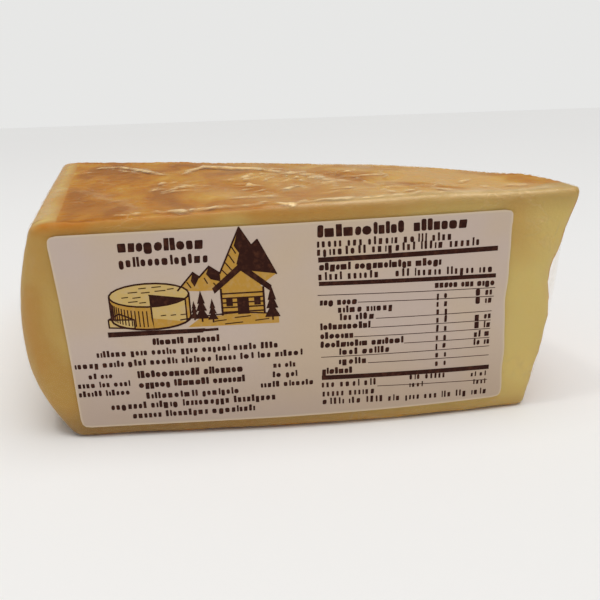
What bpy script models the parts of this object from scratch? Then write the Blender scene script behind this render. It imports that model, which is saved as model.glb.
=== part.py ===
"""A wedge of raclette cheese in skin-tight clear film, with a paper label on its front cut face.

Metres, +Z up. The wedge is drawn from its apex, the wheel's centre: the front cut runs along +X and faces -Y,
the back cut leaves the apex at the wedge's angle, and the rim joins their far ends. An empty then carries both
pieces so that the centre of the whole part's base is the origin.
"""

import math

import bmesh
import bpy
from mathutils import Vector

MM = 0.001

# The wheel and the two knife cuts
WHEEL_RADIUS = 163.0 * MM
WEDGE_ANGLE = math.radians(101.6)
CHEESE_HEIGHT = 71.4 * MM

# Rounded upright corners of the wedge
APEX_CORNER = 5.0 * MM
APEX_CORNER_PLUMP = 5.0 * MM
RIM_CORNER = 4.0 * MM
CORNER_TIGHTENS = 0.6

# The front cut face stands out a little from its knife line, and swells along its length
FRONT_STAND = 1.2 * MM
FRONT_SWELL = 3.4 * MM
FRONT_SWELL_TO_RIM = 1.25
FRONT_TOP_SHARE = 0.55
FRONT_NARROWS_FROM = 0.45

# The back cut face bulges low down and tucks in under itself
BACK_STAND = 1.1 * MM
BACK_BULGE = 8.0 * MM
BACK_TUCK = 11.4 * MM
BACK_TUCK_CURVE = 1.25
BACK_BULGE_AT = 0.43
BACK_SHOULDER = 1.15

# How far the rim is drawn in from the wheel's radius, from the base at 0 to the top at 1: it leans in towards
# the base, with a lip under its upper edge
RIM_DRAWN_IN = (
    (0.0, 13.6 * MM), (0.23, 9.9 * MM), (0.32, 8.5 * MM), (0.41, 7.8 * MM), (0.50, 7.1 * MM), (0.58, 6.3 * MM),
    (0.67, 6.1 * MM), (0.76, 5.9 * MM), (0.84, 4.4 * MM), (0.92, 2.1 * MM), (1.0, 0.0),
)

# Rounded edges: how far each wall draws in, and over what height
TOP_ROUND_HEIGHT = 3.5 * MM
BASE_ROUND_HEIGHT = 2.4 * MM
TOP_ROUND_IN = {"front": 2.4 * MM, "rim": 3.0 * MM, "back": 4.6 * MM}
BASE_ROUND_IN = {"front": 1.2 * MM, "rim": 1.5 * MM, "back": 1.0 * MM}

# The top sinks towards the apex and rolls a little
APEX_SINK = 3.2 * MM
APEX_SINK_REACH = 96.0 * MM
TOP_ROLL = 0.25 * MM
TOP_ROLL_LENGTH = 52.0 * MM
TOP_ROLL_SLANT = 0.6

# How far the top's edge sinks along the rim, from the front cut at 0 to the back cut at 1: it stands up near both
RIM_EDGE_FROM = 95.0 * MM
RIM_EDGE_SINK = (
    (0.0, -0.2 * MM), (0.06, -0.7 * MM), (0.10, -1.25 * MM), (0.12, -1.25 * MM), (0.16, -0.2 * MM),
    (0.20, 0.2 * MM), (0.28, 0.4 * MM), (0.40, 0.9 * MM), (0.46, 1.6 * MM), (0.57, 2.2 * MM), (0.66, 1.5 * MM),
    (0.75, 1.0 * MM), (0.84, 0.5 * MM), (0.89, -0.4 * MM), (0.94, -1.0 * MM), (1.0, -1.3 * MM),
)

# How finely the form is divided
FRONT_STEPS, RIM_STEPS, BACK_STEPS = 26, 42, 22
APEX_STEPS, RIM_CORNER_STEPS = 8, 6
WALL_STEPS, TOP_ROUND_STEPS, BASE_ROUND_STEPS = 11, 4, 3
TOP_RINGS = 13
LAST_RING = 0.07
HEART = Vector((62.0 * MM, 70.0 * MM))

# The label: its lower left corner on the front face, its size, its tilt and its paper
LABEL_LEFT, LABEL_BASE = 5.6 * MM, 4.1 * MM
LABEL_WIDTH, LABEL_HEIGHT = 133.5 * MM, 60.3 * MM
LABEL_TILT = math.radians(0.7)
LABEL_CORNER = 2.5 * MM

# The label's sides spread towards its top, and its lower edge hangs a little, more at the right
LABEL_SPREAD_LEFT, LABEL_SPREAD_RIGHT = 1.45 * MM, 1.0 * MM
LABEL_SPREAD_FROM = 17.0 * MM
LABEL_HANG_LEFT, LABEL_HANG_RIGHT = 0.25 * MM, 0.75 * MM

# The label's paper, its distance from the cheese and its cells
LABEL_PAPER = 0.25 * MM
LABEL_GAP = 0.30 * MM
LABEL_CELL = 5.5 * MM
LABEL_CORNER_CELLS = 3

SMOOTH_ANGLE = math.radians(40)


def clear_scene():
    for obj in list(bpy.data.objects):
        bpy.data.objects.remove(obj, do_unlink=True)


def make_material(name, colour, roughness):
    material = bpy.data.materials.new(name)
    material.use_nodes = True
    shader = material.node_tree.nodes["Principled BSDF"]
    shader.inputs["Base Color"].default_value = (*colour, 1.0)
    shader.inputs["Roughness"].default_value = roughness
    shader.inputs["Metallic"].default_value = 0.0
    material.diffuse_color = (*colour, 1.0)
    return material


def direction(angle):
    return Vector((math.cos(angle), math.sin(angle)))


def ease(value):
    value = min(max(value, 0.0), 1.0)
    return value * value * (3.0 - 2.0 * value)


def read_off(table, place):
    """The value at a place in a table of places and values, straight between its rows."""
    for (here, value), (after, value_after) in zip(table, table[1:]):
        if place <= after:
            return value + (value_after - value) * (place - here) / (after - here)
    return table[-1][1]


def front_stand(rise):
    """How far the front face stands out at its two ends, rise from 0 at the base to 1 at the top."""
    return FRONT_STAND * front_fullness(rise)


def front_fullness(rise):
    return 1.0 - (1.0 - FRONT_TOP_SHARE) * ease((rise - FRONT_NARROWS_FROM) / (1.0 - FRONT_NARROWS_FROM))


def back_stand(rise):
    """How far the back face stands out from its knife line, most at its bulge."""
    if rise < BACK_BULGE_AT:
        tuck = BACK_TUCK * (1.0 - math.sin(math.pi / 2 * rise / BACK_BULGE_AT)) ** BACK_TUCK_CURVE
        return BACK_STAND + BACK_BULGE - tuck
    over = (rise - BACK_BULGE_AT) / (1.0 - BACK_BULGE_AT)
    return BACK_STAND + BACK_BULGE * math.cos(math.pi / 2 * over ** BACK_SHOULDER)


def rim_radius(rise):
    return WHEEL_RADIUS - read_off(RIM_DRAWN_IN, rise)


class Level:
    """The wedge's plan at one height: two straight cuts and the rim between them, with rounded corners."""

    def __init__(self, rise, drawn_in=0.0, edge=None):
        edge = edge or {"front": 0.0, "rim": 0.0, "back": 0.0}
        self.rise = rise
        self.front = front_stand(rise) - drawn_in * edge["front"]
        self.back = back_stand(rise) - drawn_in * edge["back"]
        self.radius = rim_radius(rise) - drawn_in * edge["rim"]
        self.swell = FRONT_SWELL * front_fullness(rise)
        plump = max(0.0, back_stand(rise)) / BACK_BULGE
        self.apex_corner = (APEX_CORNER + APEX_CORNER_PLUMP * plump) * (1.0 - CORNER_TIGHTENS * drawn_in)
        self.rim_corner = RIM_CORNER * (1.0 - CORNER_TIGHTENS * drawn_in)

    def apex_centre(self):
        """The centre of the apex's round corner, one radius inside both cut faces."""
        off_front = self.front - self.apex_corner
        off_back = self.back - self.apex_corner
        out = direction(WEDGE_ANGLE + math.pi / 2)
        return Vector(((off_back + off_front * out.y) / out.x, -off_front))

    def rim_centre(self, stand):
        """A rim corner's centre, as its distances along a cut and outwards from that cut's line."""
        outwards = stand - self.rim_corner
        return math.sqrt((self.radius - self.rim_corner) ** 2 - outwards ** 2), outwards

    def front_ends(self):
        return self.apex_centre().x, self.rim_centre(self.front)[0]

    def front_point(self, across):
        """The front face at a distance across it from the apex's line."""
        start, end = self.front_ends()
        along = min(max((across - start) / (end - start), 0.0), 1.0)
        return Vector((across, -self.front - self.swell * math.sin(math.pi * along ** FRONT_SWELL_TO_RIM)))

    def outline(self):
        """The plan's points, anticlockwise from the apex end of the front face."""
        line = direction(WEDGE_ANGLE)
        out = direction(WEDGE_ANGLE + math.pi / 2)
        start, end = self.front_ends()
        points = [self.front_point(start + (end - start) * step / FRONT_STEPS) for step in range(FRONT_STEPS)]
        front_centre = Vector((end, -self.front + self.rim_corner))
        front_turn = math.atan2(front_centre.y, front_centre.x)
        points += arc(front_centre, self.rim_corner, -math.pi / 2, front_turn, RIM_CORNER_STEPS)
        along, outwards = self.rim_centre(self.back)
        back_centre = line * along + out * outwards
        back_turn = math.atan2(back_centre.y, back_centre.x)
        points += arc(Vector((0.0, 0.0)), self.radius, front_turn, back_turn, RIM_STEPS)
        points += arc(back_centre, self.rim_corner, back_turn, WEDGE_ANGLE + math.pi / 2, RIM_CORNER_STEPS)
        apex = self.apex_centre()
        far, near = back_centre + out * self.rim_corner, apex + out * self.apex_corner
        points += [far.lerp(near, step / BACK_STEPS) for step in range(BACK_STEPS)]
        points += arc(apex, self.apex_corner, WEDGE_ANGLE + math.pi / 2, 3 * math.pi / 2, APEX_STEPS)
        return points


def arc(centre, radius, start, end, steps):
    """Points along an arc, without its last one."""
    return [centre + direction(start + (end - start) * step / steps) * radius for step in range(steps)]


def top_height(point):
    """The top's height over a point of the plan."""
    reach = point.length
    sink = APEX_SINK * max(0.0, 1.0 - reach / APEX_SINK_REACH)
    turned = min(max(math.atan2(point.y, point.x) / WEDGE_ANGLE, 0.0), 1.0)
    to_rim = max(0.0, (reach - RIM_EDGE_FROM) / (WHEEL_RADIUS - RIM_EDGE_FROM))
    sink += read_off(RIM_EDGE_SINK, turned) * to_rim ** 2
    roll = math.sin(math.tau * (point.x + TOP_ROLL_SLANT * point.y) / TOP_ROLL_LENGTH)
    return CHEESE_HEIGHT - sink + TOP_ROLL * roll * ease(reach / APEX_SINK_REACH)


def side_levels():
    """The levels up the sides: the rounded base edge, the walls and the rounded top edge."""
    levels = []
    for step in range(BASE_ROUND_STEPS):
        turned = math.pi / 2 * step / BASE_ROUND_STEPS
        rise = BASE_ROUND_HEIGHT * (1.0 - math.cos(turned)) / CHEESE_HEIGHT
        levels.append(Level(rise, 1.0 - math.sin(turned), BASE_ROUND_IN))
    low, high = BASE_ROUND_HEIGHT / CHEESE_HEIGHT, 1.0 - TOP_ROUND_HEIGHT / CHEESE_HEIGHT
    for step in range(WALL_STEPS):
        levels.append(Level(low + (high - low) * step / WALL_STEPS))
    for step in range(TOP_ROUND_STEPS + 1):
        turned = math.pi / 2 * step / TOP_ROUND_STEPS
        levels.append(Level(high + (1.0 - high) * math.sin(turned), 1.0 - math.cos(turned), TOP_ROUND_IN))
    return levels


def form_rings():
    """Rings of points from the base's edge up the sides and in over the top to its heart."""
    levels = side_levels()
    top_edge = levels[-1].outline()
    heights = [top_height(point) for point in top_edge]
    rings = []
    for level in levels:
        rings.append([(point.x, point.y, level.rise * height) for point, height in zip(level.outline(), heights)])
    for step in range(1, TOP_RINGS + 1):
        shrink = 1.0 + (LAST_RING - 1.0) * step / TOP_RINGS
        shrunk = [HEART + (point - HEART) * shrink for point in top_edge]
        rings.append([(point.x, point.y, top_height(point)) for point in shrunk])
    return rings


def object_from_mesh(name, mesh_data, material, carrier):
    mesh = bpy.data.meshes.new(name)
    mesh_data.to_mesh(mesh)
    mesh_data.free()
    mesh.shade_smooth()
    mesh.set_sharp_from_angle(angle=SMOOTH_ANGLE)
    mesh.materials.append(material)
    obj = bpy.data.objects.new(name, mesh)
    bpy.context.scene.collection.objects.link(obj)
    obj.parent = carrier
    return obj


def build_wrapped_cheese(carrier):
    form = bmesh.new()
    loops = [[form.verts.new(place) for place in ring] for ring in form_rings()]
    count = len(loops[0])
    for lower, upper in zip(loops, loops[1:]):
        for here in range(count):
            after = (here + 1) % count
            form.faces.new((lower[here], lower[after], upper[after], upper[here]))
    base = form.faces.new(loops[0][::-1])
    heart = form.faces.new(loops[-1])
    bmesh.ops.triangulate(form, faces=[base, heart])
    material = make_material("cheese_in_film", (0.56, 0.40, 0.17), 0.35)
    return object_from_mesh("wrapped_cheese", form, material, carrier)


def front_face_place(across, height, stand_off):
    """A place in front of the front cut face, at a distance across it from the apex and a height."""
    rise = height / top_height(Vector((across, 0.0)))
    point = Level(rise).front_point(across)
    return Vector((point.x, point.y - stand_off, height))


def cell_lines(length):
    """Grid lines along one side of the label: close in the rounded corners, wide between them."""
    cells = math.ceil((length - 2 * LABEL_CORNER) / LABEL_CELL)
    corner = [LABEL_CORNER * step / LABEL_CORNER_CELLS for step in range(LABEL_CORNER_CELLS)]
    middle = [LABEL_CORNER + (length - 2 * LABEL_CORNER) * step / cells for step in range(cells + 1)]
    return corner + middle + [length - place for place in reversed(corner)]


def rounded(across, up):
    """The same place with the label's four square corners turned into quarter circles."""
    inner = Vector((min(max(across, LABEL_CORNER), LABEL_WIDTH - LABEL_CORNER),
                    min(max(up, LABEL_CORNER), LABEL_HEIGHT - LABEL_CORNER)))
    square = (Vector((across, up)) - inner) / LABEL_CORNER
    circle = Vector((square.x * math.sqrt(1.0 - square.y ** 2 / 2), square.y * math.sqrt(1.0 - square.x ** 2 / 2)))
    return inner + circle * LABEL_CORNER


def spread(place):
    """The same place on the label with its sides spread apart and its lower edge hanging."""
    to_right, to_top = place.x / LABEL_WIDTH, place.y / LABEL_HEIGHT
    widen = max(0.0, (place.y - LABEL_SPREAD_FROM) / (LABEL_HEIGHT - LABEL_SPREAD_FROM)) ** 2
    aside = LABEL_SPREAD_RIGHT * to_right - LABEL_SPREAD_LEFT * (1.0 - to_right)
    hang = LABEL_HANG_LEFT + (LABEL_HANG_RIGHT - LABEL_HANG_LEFT) * to_right
    return Vector((place.x + aside * widen, place.y - hang * (1.0 - to_top)))


def build_label(carrier):
    sheet = bmesh.new()
    tilt = direction(LABEL_TILT)
    columns = []
    for across in cell_lines(LABEL_WIDTH):
        column = []
        for up in cell_lines(LABEL_HEIGHT):
            flat = spread(rounded(across, up))
            place_x = LABEL_LEFT + flat.x * tilt.x - flat.y * tilt.y
            place_z = LABEL_BASE + flat.x * tilt.y + flat.y * tilt.x
            column.append(sheet.verts.new(front_face_place(place_x, place_z, LABEL_GAP)))
        columns.append(column)
    for left, right in zip(columns, columns[1:]):
        for low in range(len(left) - 1):
            sheet.faces.new((left[low], right[low], right[low + 1], left[low + 1]))
    label = object_from_mesh("label", sheet, make_material("label_paper", (0.80, 0.74, 0.68), 0.6), carrier)
    paper = label.modifiers.new("paper", "SOLIDIFY")
    paper.thickness = LABEL_PAPER
    paper.offset = 1.0
    return label


def centre_base(carrier, pieces):
    """Moves the carrier so that the part's box stands on the origin, centred."""
    bpy.context.view_layer.update()
    graph = bpy.context.evaluated_depsgraph_get()
    corners = []
    for piece in pieces:
        solid = piece.evaluated_get(graph).to_mesh()
        corners += [vertex.co.copy() for vertex in solid.vertices]
    low = [min(corner[axis] for corner in corners) for axis in range(3)]
    high = [max(corner[axis] for corner in corners) for axis in range(3)]
    carrier.location = (-(low[0] + high[0]) / 2, -(low[1] + high[1]) / 2, -low[2])


def main():
    clear_scene()
    carrier = bpy.data.objects.new("wedge_base", None)
    bpy.context.scene.collection.objects.link(carrier)
    cheese = build_wrapped_cheese(carrier)
    label = build_label(carrier)
    centre_base(carrier, [cheese, label])


main()
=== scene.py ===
"""Looks of a wedge of raclette cheese in tight clear film, with a printed paper label on its front cut face.

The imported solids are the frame. The cheese and the film replace one solid, the paper replaces the label,
and the print lies on the paper. Metres, +Z up, label towards -Y.
"""

from __future__ import annotations

import logging
import math
import random
from dataclasses import dataclass
from enum import Enum
from typing import Any, Callable, Iterable, Sequence, Union

import bpy
import numpy as np
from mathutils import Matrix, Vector, noise

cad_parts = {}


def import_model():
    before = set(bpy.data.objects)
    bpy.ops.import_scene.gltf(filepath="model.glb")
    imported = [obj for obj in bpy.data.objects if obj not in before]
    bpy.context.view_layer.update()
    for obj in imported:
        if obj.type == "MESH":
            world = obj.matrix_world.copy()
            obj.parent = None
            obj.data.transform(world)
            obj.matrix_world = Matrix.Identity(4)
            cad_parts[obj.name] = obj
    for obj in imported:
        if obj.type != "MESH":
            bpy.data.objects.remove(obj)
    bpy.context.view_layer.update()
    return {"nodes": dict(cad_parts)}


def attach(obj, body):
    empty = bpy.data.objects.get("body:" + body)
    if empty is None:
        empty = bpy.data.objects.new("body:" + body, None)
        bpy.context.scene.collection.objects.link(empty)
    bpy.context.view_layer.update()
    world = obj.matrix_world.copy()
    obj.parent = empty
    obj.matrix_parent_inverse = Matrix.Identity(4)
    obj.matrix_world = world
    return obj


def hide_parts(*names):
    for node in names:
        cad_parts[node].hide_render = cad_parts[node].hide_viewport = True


LOG = logging.getLogger("raclette")
MM = 0.001

Number = Union[float, "Signal"]
Colour = tuple[float, float, float]
Span = tuple[float, float]
Place = tuple[float, float]


class Node(Enum):
    """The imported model's nodes."""

    CHEESE = "wrapped_cheese"
    LABEL = "label"


class Slot(Enum):
    """The record's material slots."""

    CHEESE = "cheese"
    FILM = "clear_film"
    PAPER = "label_paper"
    INK = "label_ink"


class Side(Enum):
    """The wedge's sides."""

    TOP = "top"
    BASE = "base"
    FRONT = "front"
    BACK = "back"
    RIM = "rim"


class Weight(Enum):
    """How heavy a printed line is: the share of a mark's step that is ink."""

    LIGHT = 0.50
    BOLD = 0.68
    BLACK = 0.82


# How squarely a normal faces a side where it begins to belong to it, and where it wholly does
FACING = {
    Side.TOP: (0.30, 0.75),
    Side.BASE: (0.5, 0.9),
    Side.FRONT: (0.20, 0.50),
    Side.BACK: (0.40, 0.80),
    Side.RIM: (0.40, 0.80),
}


@dataclass(frozen=True)
class Wedge:
    """The wedge's own sizes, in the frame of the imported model.

    Args:
        apex: the front left upright edge's place in plan, the wheel's centre.
        angle: the angle between the two cut faces.
        radius: the wheel's radius.
        height: the wheel's height.
        top_band: how far below the height the top begins, and where it is whole.
        rim_band: how far inside the radius the rim begins, and where it is whole.
    """

    apex: Place = (-61.25 * MM, -78.4 * MM)
    angle: float = math.radians(101.6)
    radius: float = 163.0 * MM
    height: float = 71.4 * MM
    top_band: Span = (12 * MM, 6 * MM)
    rim_band: Span = (32 * MM, 24 * MM)

    def plan(self, points: np.ndarray) -> np.ndarray:
        """Returns the points' places in plan, from the apex."""
        return points[:, :2] - np.array(self.apex)

    def inside_front(self, points: np.ndarray) -> np.ndarray:
        """Returns how far behind the front knife line each point is."""
        return self.plan(points)[:, 1]

    def inside_back(self, points: np.ndarray) -> np.ndarray:
        """Returns how far inside the back knife line each point is."""
        plan = self.plan(points)
        return plan[:, 0] * math.sin(self.angle) - plan[:, 1] * math.cos(self.angle)

    def reach(self, points: np.ndarray) -> np.ndarray:
        """Returns each point's distance from the wheel's axis."""
        return np.linalg.norm(self.plan(points), axis=1)

    def outward(self, points: np.ndarray, normals: np.ndarray) -> np.ndarray:
        """Returns how squarely each normal faces away from the wheel's axis."""
        return np.sum(self.plan(points) * normals[:, :2], axis=1) / np.maximum(self.reach(points), MM)

    def near_rim(self, points: np.ndarray) -> np.ndarray:
        """Returns how near the rim each point is, from 0 to 1."""
        return ramp(self.reach(points), self.radius - self.rim_band[0], self.radius - self.rim_band[1])

    def chart(self, side: Side, points: np.ndarray) -> np.ndarray:
        """Returns the points' places on one side, laid flat.

        Args:
            side: the side.
            points: the points.

        Returns:
            Across and behind for the top and the base, along and up for the walls, in metres.
        """
        plan = self.plan(points)
        if side in (Side.TOP, Side.BASE):
            return plan
        if side is Side.FRONT:
            along = plan[:, 0]
        elif side is Side.BACK:
            along = plan[:, 0] * math.cos(self.angle) + plan[:, 1] * math.sin(self.angle)
        else:
            along = np.arctan2(plan[:, 1], plan[:, 0]) * self.radius
        return np.stack([along, points[:, 2]], axis=1)

    def faces(self, side: Side, points: np.ndarray, normals: np.ndarray) -> np.ndarray:
        """Returns how much each point belongs to one side, from 0 to 1.

        Args:
            side: the side.
            points: the points.
            normals: their normals.

        Returns:
            One share for each point.
        """
        within = 1.0
        if side is Side.TOP:
            facing = normals[:, 2]
            within = ramp(points[:, 2], self.height - self.top_band[0], self.height - self.top_band[1])
        elif side is Side.BASE:
            facing = -normals[:, 2]
        elif side is Side.FRONT:
            facing = -normals[:, 1]
        elif side is Side.BACK:
            facing = normals[:, 1] * math.cos(self.angle) - normals[:, 0] * math.sin(self.angle)
        else:
            facing, within = self.outward(points, normals), self.near_rim(points)
        return ramp(facing, *FACING[side]) * within


def ramp(values: np.ndarray, low: float, high: float) -> np.ndarray:
    """Eases values from 0 at low to 1 at high.

    Args:
        values: the numbers to ease.
        low: the number that gives 0.
        high: the number that gives 1; it may be below low.

    Returns:
        The eased numbers, between 0 and 1.
    """
    share = np.clip((values - low) / (high - low), 0.0, 1.0)
    return share * share * (3.0 - 2.0 * share)


def pick(*objects: bpy.types.Object) -> None:
    """Selects these objects alone, the first one active."""
    bpy.ops.object.select_all(action="DESELECT")
    for obj in objects:
        obj.select_set(True)
    bpy.context.view_layer.objects.active = objects[0]


def finish_modifier(obj: bpy.types.Object, kind: str, **settings: Any) -> None:
    """Adds a modifier with these settings and applies it.

    Args:
        obj: the object to change.
        kind: the modifier's type.
        settings: the modifier's properties by name.
    """
    pick(obj)
    modifier = obj.modifiers.new(kind.lower(), kind)
    for name, value in settings.items():
        setattr(modifier, name, value)
    bpy.ops.object.modifier_apply(modifier=modifier.name)


def edit_faces(obj: bpy.types.Object, wanted: Callable[[Any], bool], work: Callable[[], Any]) -> None:
    """Runs an edit-mode operator on some of an object's faces.

    Args:
        obj: the object to edit.
        wanted: says whether a face is selected.
        work: calls the operator.
    """
    pick(obj)
    bpy.ops.object.mode_set(mode="EDIT")
    bpy.ops.mesh.select_mode(type="FACE")
    bpy.ops.mesh.select_all(action="DESELECT")
    bpy.ops.object.mode_set(mode="OBJECT")
    for face in obj.data.polygons:
        face.select = wanted(face)
    bpy.ops.object.mode_set(mode="EDIT")
    work()
    bpy.ops.object.mode_set(mode="OBJECT")


def points_of(obj: bpy.types.Object) -> np.ndarray:
    """Returns an object's points, one row each."""
    points = np.empty(len(obj.data.vertices) * 3, np.float32)
    obj.data.vertices.foreach_get("co", points)
    return points.reshape(-1, 3).astype(float)


def normals_of(obj: bpy.types.Object) -> np.ndarray:
    """Returns an object's point normals, one row each."""
    normals = np.empty(len(obj.data.vertices) * 3, np.float32)
    obj.data.vertex_normals.foreach_get("vector", normals)
    return normals.reshape(-1, 3).astype(float)


def set_points(obj: bpy.types.Object, points: np.ndarray) -> None:
    """Moves an object's points to these places."""
    obj.data.vertices.foreach_set("co", points.astype(np.float32).ravel())
    obj.data.update()


def paint(obj: bpy.types.Object, name: str, values: np.ndarray) -> None:
    """Stores one number for each point, for a material to read.

    Args:
        obj: the object.
        name: the attribute's name.
        values: one number for each point.
    """
    attribute = obj.data.attributes.new(name, "FLOAT", "POINT")
    attribute.data.foreach_set("value", values.astype(np.float32))


def dress(obj: bpy.types.Object, material: bpy.types.Material) -> None:
    """Gives an object one material."""
    obj.data.materials.clear()
    obj.data.materials.append(material)


class Signal:
    """A shader socket that takes part in Python arithmetic by adding Math nodes."""

    def __init__(self, finish: "Finish", socket: bpy.types.NodeSocket) -> None:
        """Keeps the socket and the finish that it belongs to."""
        self.finish = finish
        self.socket = socket

    def _with(self, operation: str, *values: Number) -> "Signal":
        """Returns a Math node's result on these values."""
        made = self.finish.node("ShaderNodeMath", {"operation": operation}, dict(enumerate(values)))
        return self.finish.signal(made, "Value")

    def __add__(self, other: Number) -> "Signal":
        """Returns the sum."""
        return self._with("ADD", self, other)

    def __sub__(self, other: Number) -> "Signal":
        """Returns the difference."""
        return self._with("SUBTRACT", self, other)

    def __mul__(self, other: Number) -> "Signal":
        """Returns the product."""
        return self._with("MULTIPLY", self, other)

    def __rsub__(self, other: Number) -> "Signal":
        """Returns the difference from a number."""
        return self._with("SUBTRACT", other, self)

    __radd__ = __add__
    __rmul__ = __mul__

    def size(self) -> "Signal":
        """Returns the value without its sign."""
        return self._with("ABSOLUTE", self)

    def clamped(self) -> "Signal":
        """Returns the value held between 0 and 1."""
        return self._with("MINIMUM", self._with("MAXIMUM", self, 0.0), 1.0)

    def eased(self, low: float, high: float) -> "Signal":
        """Returns the value eased from 0 at low to 1 at high."""
        made = self.finish.node(
            "ShaderNodeMapRange",
            {"interpolation_type": "SMOOTHSTEP"},
            {"Value": self, "From Min": low, "From Max": high},
        )
        return self.finish.signal(made, "Result")


class Finish:
    """Builds one material's nodes."""

    def __init__(self, name: str) -> None:
        """Starts an empty material.

        Args:
            name: the material's name.
        """
        self.material = bpy.data.materials.new(name)
        self.material.use_nodes = True
        self.tree = self.material.node_tree
        self.tree.nodes.clear()
        self.output = self.node("ShaderNodeOutputMaterial")
        self.place = self.signal(self.node("ShaderNodeTexCoord"), "Object")

    def node(
        self, kind: str, settings: dict[str, Any] | None = None, sockets: dict[Any, Any] | None = None
    ) -> bpy.types.Node:
        """Adds a node.

        Args:
            kind: the node's type.
            settings: its own properties, and a ramp's stops under "stops", set before its sockets.
            sockets: values, or signals to link, by socket name or number.

        Returns:
            The new node.
        """
        made = self.tree.nodes.new(kind)
        for name, value in (settings or {}).items():
            if name == "stops":
                self._set_stops(made, value)
            else:
                setattr(made, name, value)
        for name, value in (sockets or {}).items():
            if isinstance(value, Signal):
                self.tree.links.new(value.socket, made.inputs[name])
            else:
                made.inputs[name].default_value = value
        return made

    @staticmethod
    def _set_stops(made: bpy.types.Node, stops: Sequence[tuple[float, Colour]]) -> None:
        """Sets a colour ramp's stops.

        Args:
            made: the ramp's node.
            stops: each stop's place and colour.
        """
        elements = made.color_ramp.elements
        while len(elements) < len(stops):
            elements.new(1.0)
        for element, (place, colour) in zip(elements, stops):
            element.position = place
            element.color = (*colour, 1.0)

    def signal(self, made: bpy.types.Node, output: str | int = 0) -> Signal:
        """Returns a node's output as a signal."""
        return Signal(self, made.outputs[output])

    def along(self, axis: str) -> Signal:
        """Returns the place along X, Y or Z."""
        return self.signal(self.node("ShaderNodeSeparateXYZ", {}, {"Vector": self.place}), axis)

    def attribute(self, name: str) -> Signal:
        """Returns a stored number of the mesh as a signal."""
        return self.signal(self.node("ShaderNodeAttribute", {"attribute_name": name}), "Fac")

    def stretched(self, scale: tuple[float, float, float], turn: float = 0.0) -> Signal:
        """Returns Object coordinates, turned about the upright and stretched.

        Args:
            scale: how much closer together a pattern lies along X, Y and Z.
            turn: the turn in plan.

        Returns:
            The coordinates.
        """
        sockets = {"Vector": self.place, "Rotation": (0, 0, turn), "Scale": scale}
        return self.signal(self.node("ShaderNodeMapping", {}, sockets))

    def clouds(self, size: float, detail: float = 3.0, at: Signal | None = None, warp: float = 0.0) -> Signal:
        """Returns soft noise.

        Args:
            size: the noise's grain, in metres.
            detail: how many finer layers it has.
            at: where it is read, by default Object coordinates.
            warp: how far it is pulled about.

        Returns:
            The noise, about 0.5 on average.
        """
        sockets = {"Vector": at or self.place, "Scale": 1.0 / size, "Detail": detail, "Distortion": warp}
        return self.signal(self.node("ShaderNodeTexNoise", {}, sockets), "Fac")

    def facets(self, size: float, at: Signal | None = None, softness: float = 0.3) -> Signal:
        """Returns patches of random height with soft borders.

        Args:
            size: how large the patches are, in metres.
            at: where they are read, by default Object coordinates.
            softness: how soft their borders are.

        Returns:
            The patches, about 0.5 on average.
        """
        sockets = {"Vector": at or self.place, "Scale": 1.0 / size, "Smoothness": softness}
        cells = self.node("ShaderNodeTexVoronoi", {"feature": "SMOOTH_F1"}, sockets)
        split = self.node("ShaderNodeSeparateColor", {}, {"Color": self.signal(cells, "Color")})
        return self.signal(split, "Red")

    def blend(self, share: Number, first: Signal | Colour, second: Signal | Colour) -> Signal:
        """Returns a colour between two colours.

        Args:
            share: how much of the second colour.
            first: the first colour.
            second: the second colour.

        Returns:
            The mixed colour.
        """
        made = self.node("ShaderNodeMix", {"data_type": "RGBA"}, {"Factor": share})
        for socket, colour in ((6, first), (7, second)):
            if isinstance(colour, Signal):
                self.tree.links.new(colour.socket, made.inputs[socket])
            else:
                made.inputs[socket].default_value = (*colour, 1.0)
        return self.signal(made, 2)

    def bump(self, height: Signal, depth: float, strength: float = 1.0) -> Signal:
        """Returns a normal tilted by a height.

        Args:
            height: the height, in steps of the depth.
            depth: how deep one step is, in metres.
            strength: how much of the tilt is used.

        Returns:
            The normal.
        """
        made = self.node("ShaderNodeBump", {}, {"Height": height, "Distance": depth, "Strength": strength})
        return self.signal(made)

    def surface(self, **sockets: Any) -> Signal:
        """Returns a Principled shader with these sockets, named with underscores for spaces."""
        named = {name.replace("_", " "): value for name, value in sockets.items()}
        for name, value in named.items():
            if isinstance(value, tuple) and len(value) == 3 and "Radius" not in name:
                named[name] = (*value, 1.0)
        return self.signal(self.node("ShaderNodeBsdfPrincipled", {}, named))

    def done(self, shader: Signal) -> bpy.types.Material:
        """Links the last shader to the output and returns the material."""
        self.tree.links.new(shader.socket, self.output.inputs["Surface"])
        return self.material


def srgb(red: int, green: int, blue: int) -> Colour:
    """Returns a display colour as the linear colour that a shader takes."""
    shares = (red / 255, green / 255, blue / 255)
    return tuple(v / 12.92 if v <= 0.04045 else ((v + 0.055) / 1.055) ** 2.4 for v in shares)


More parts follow.
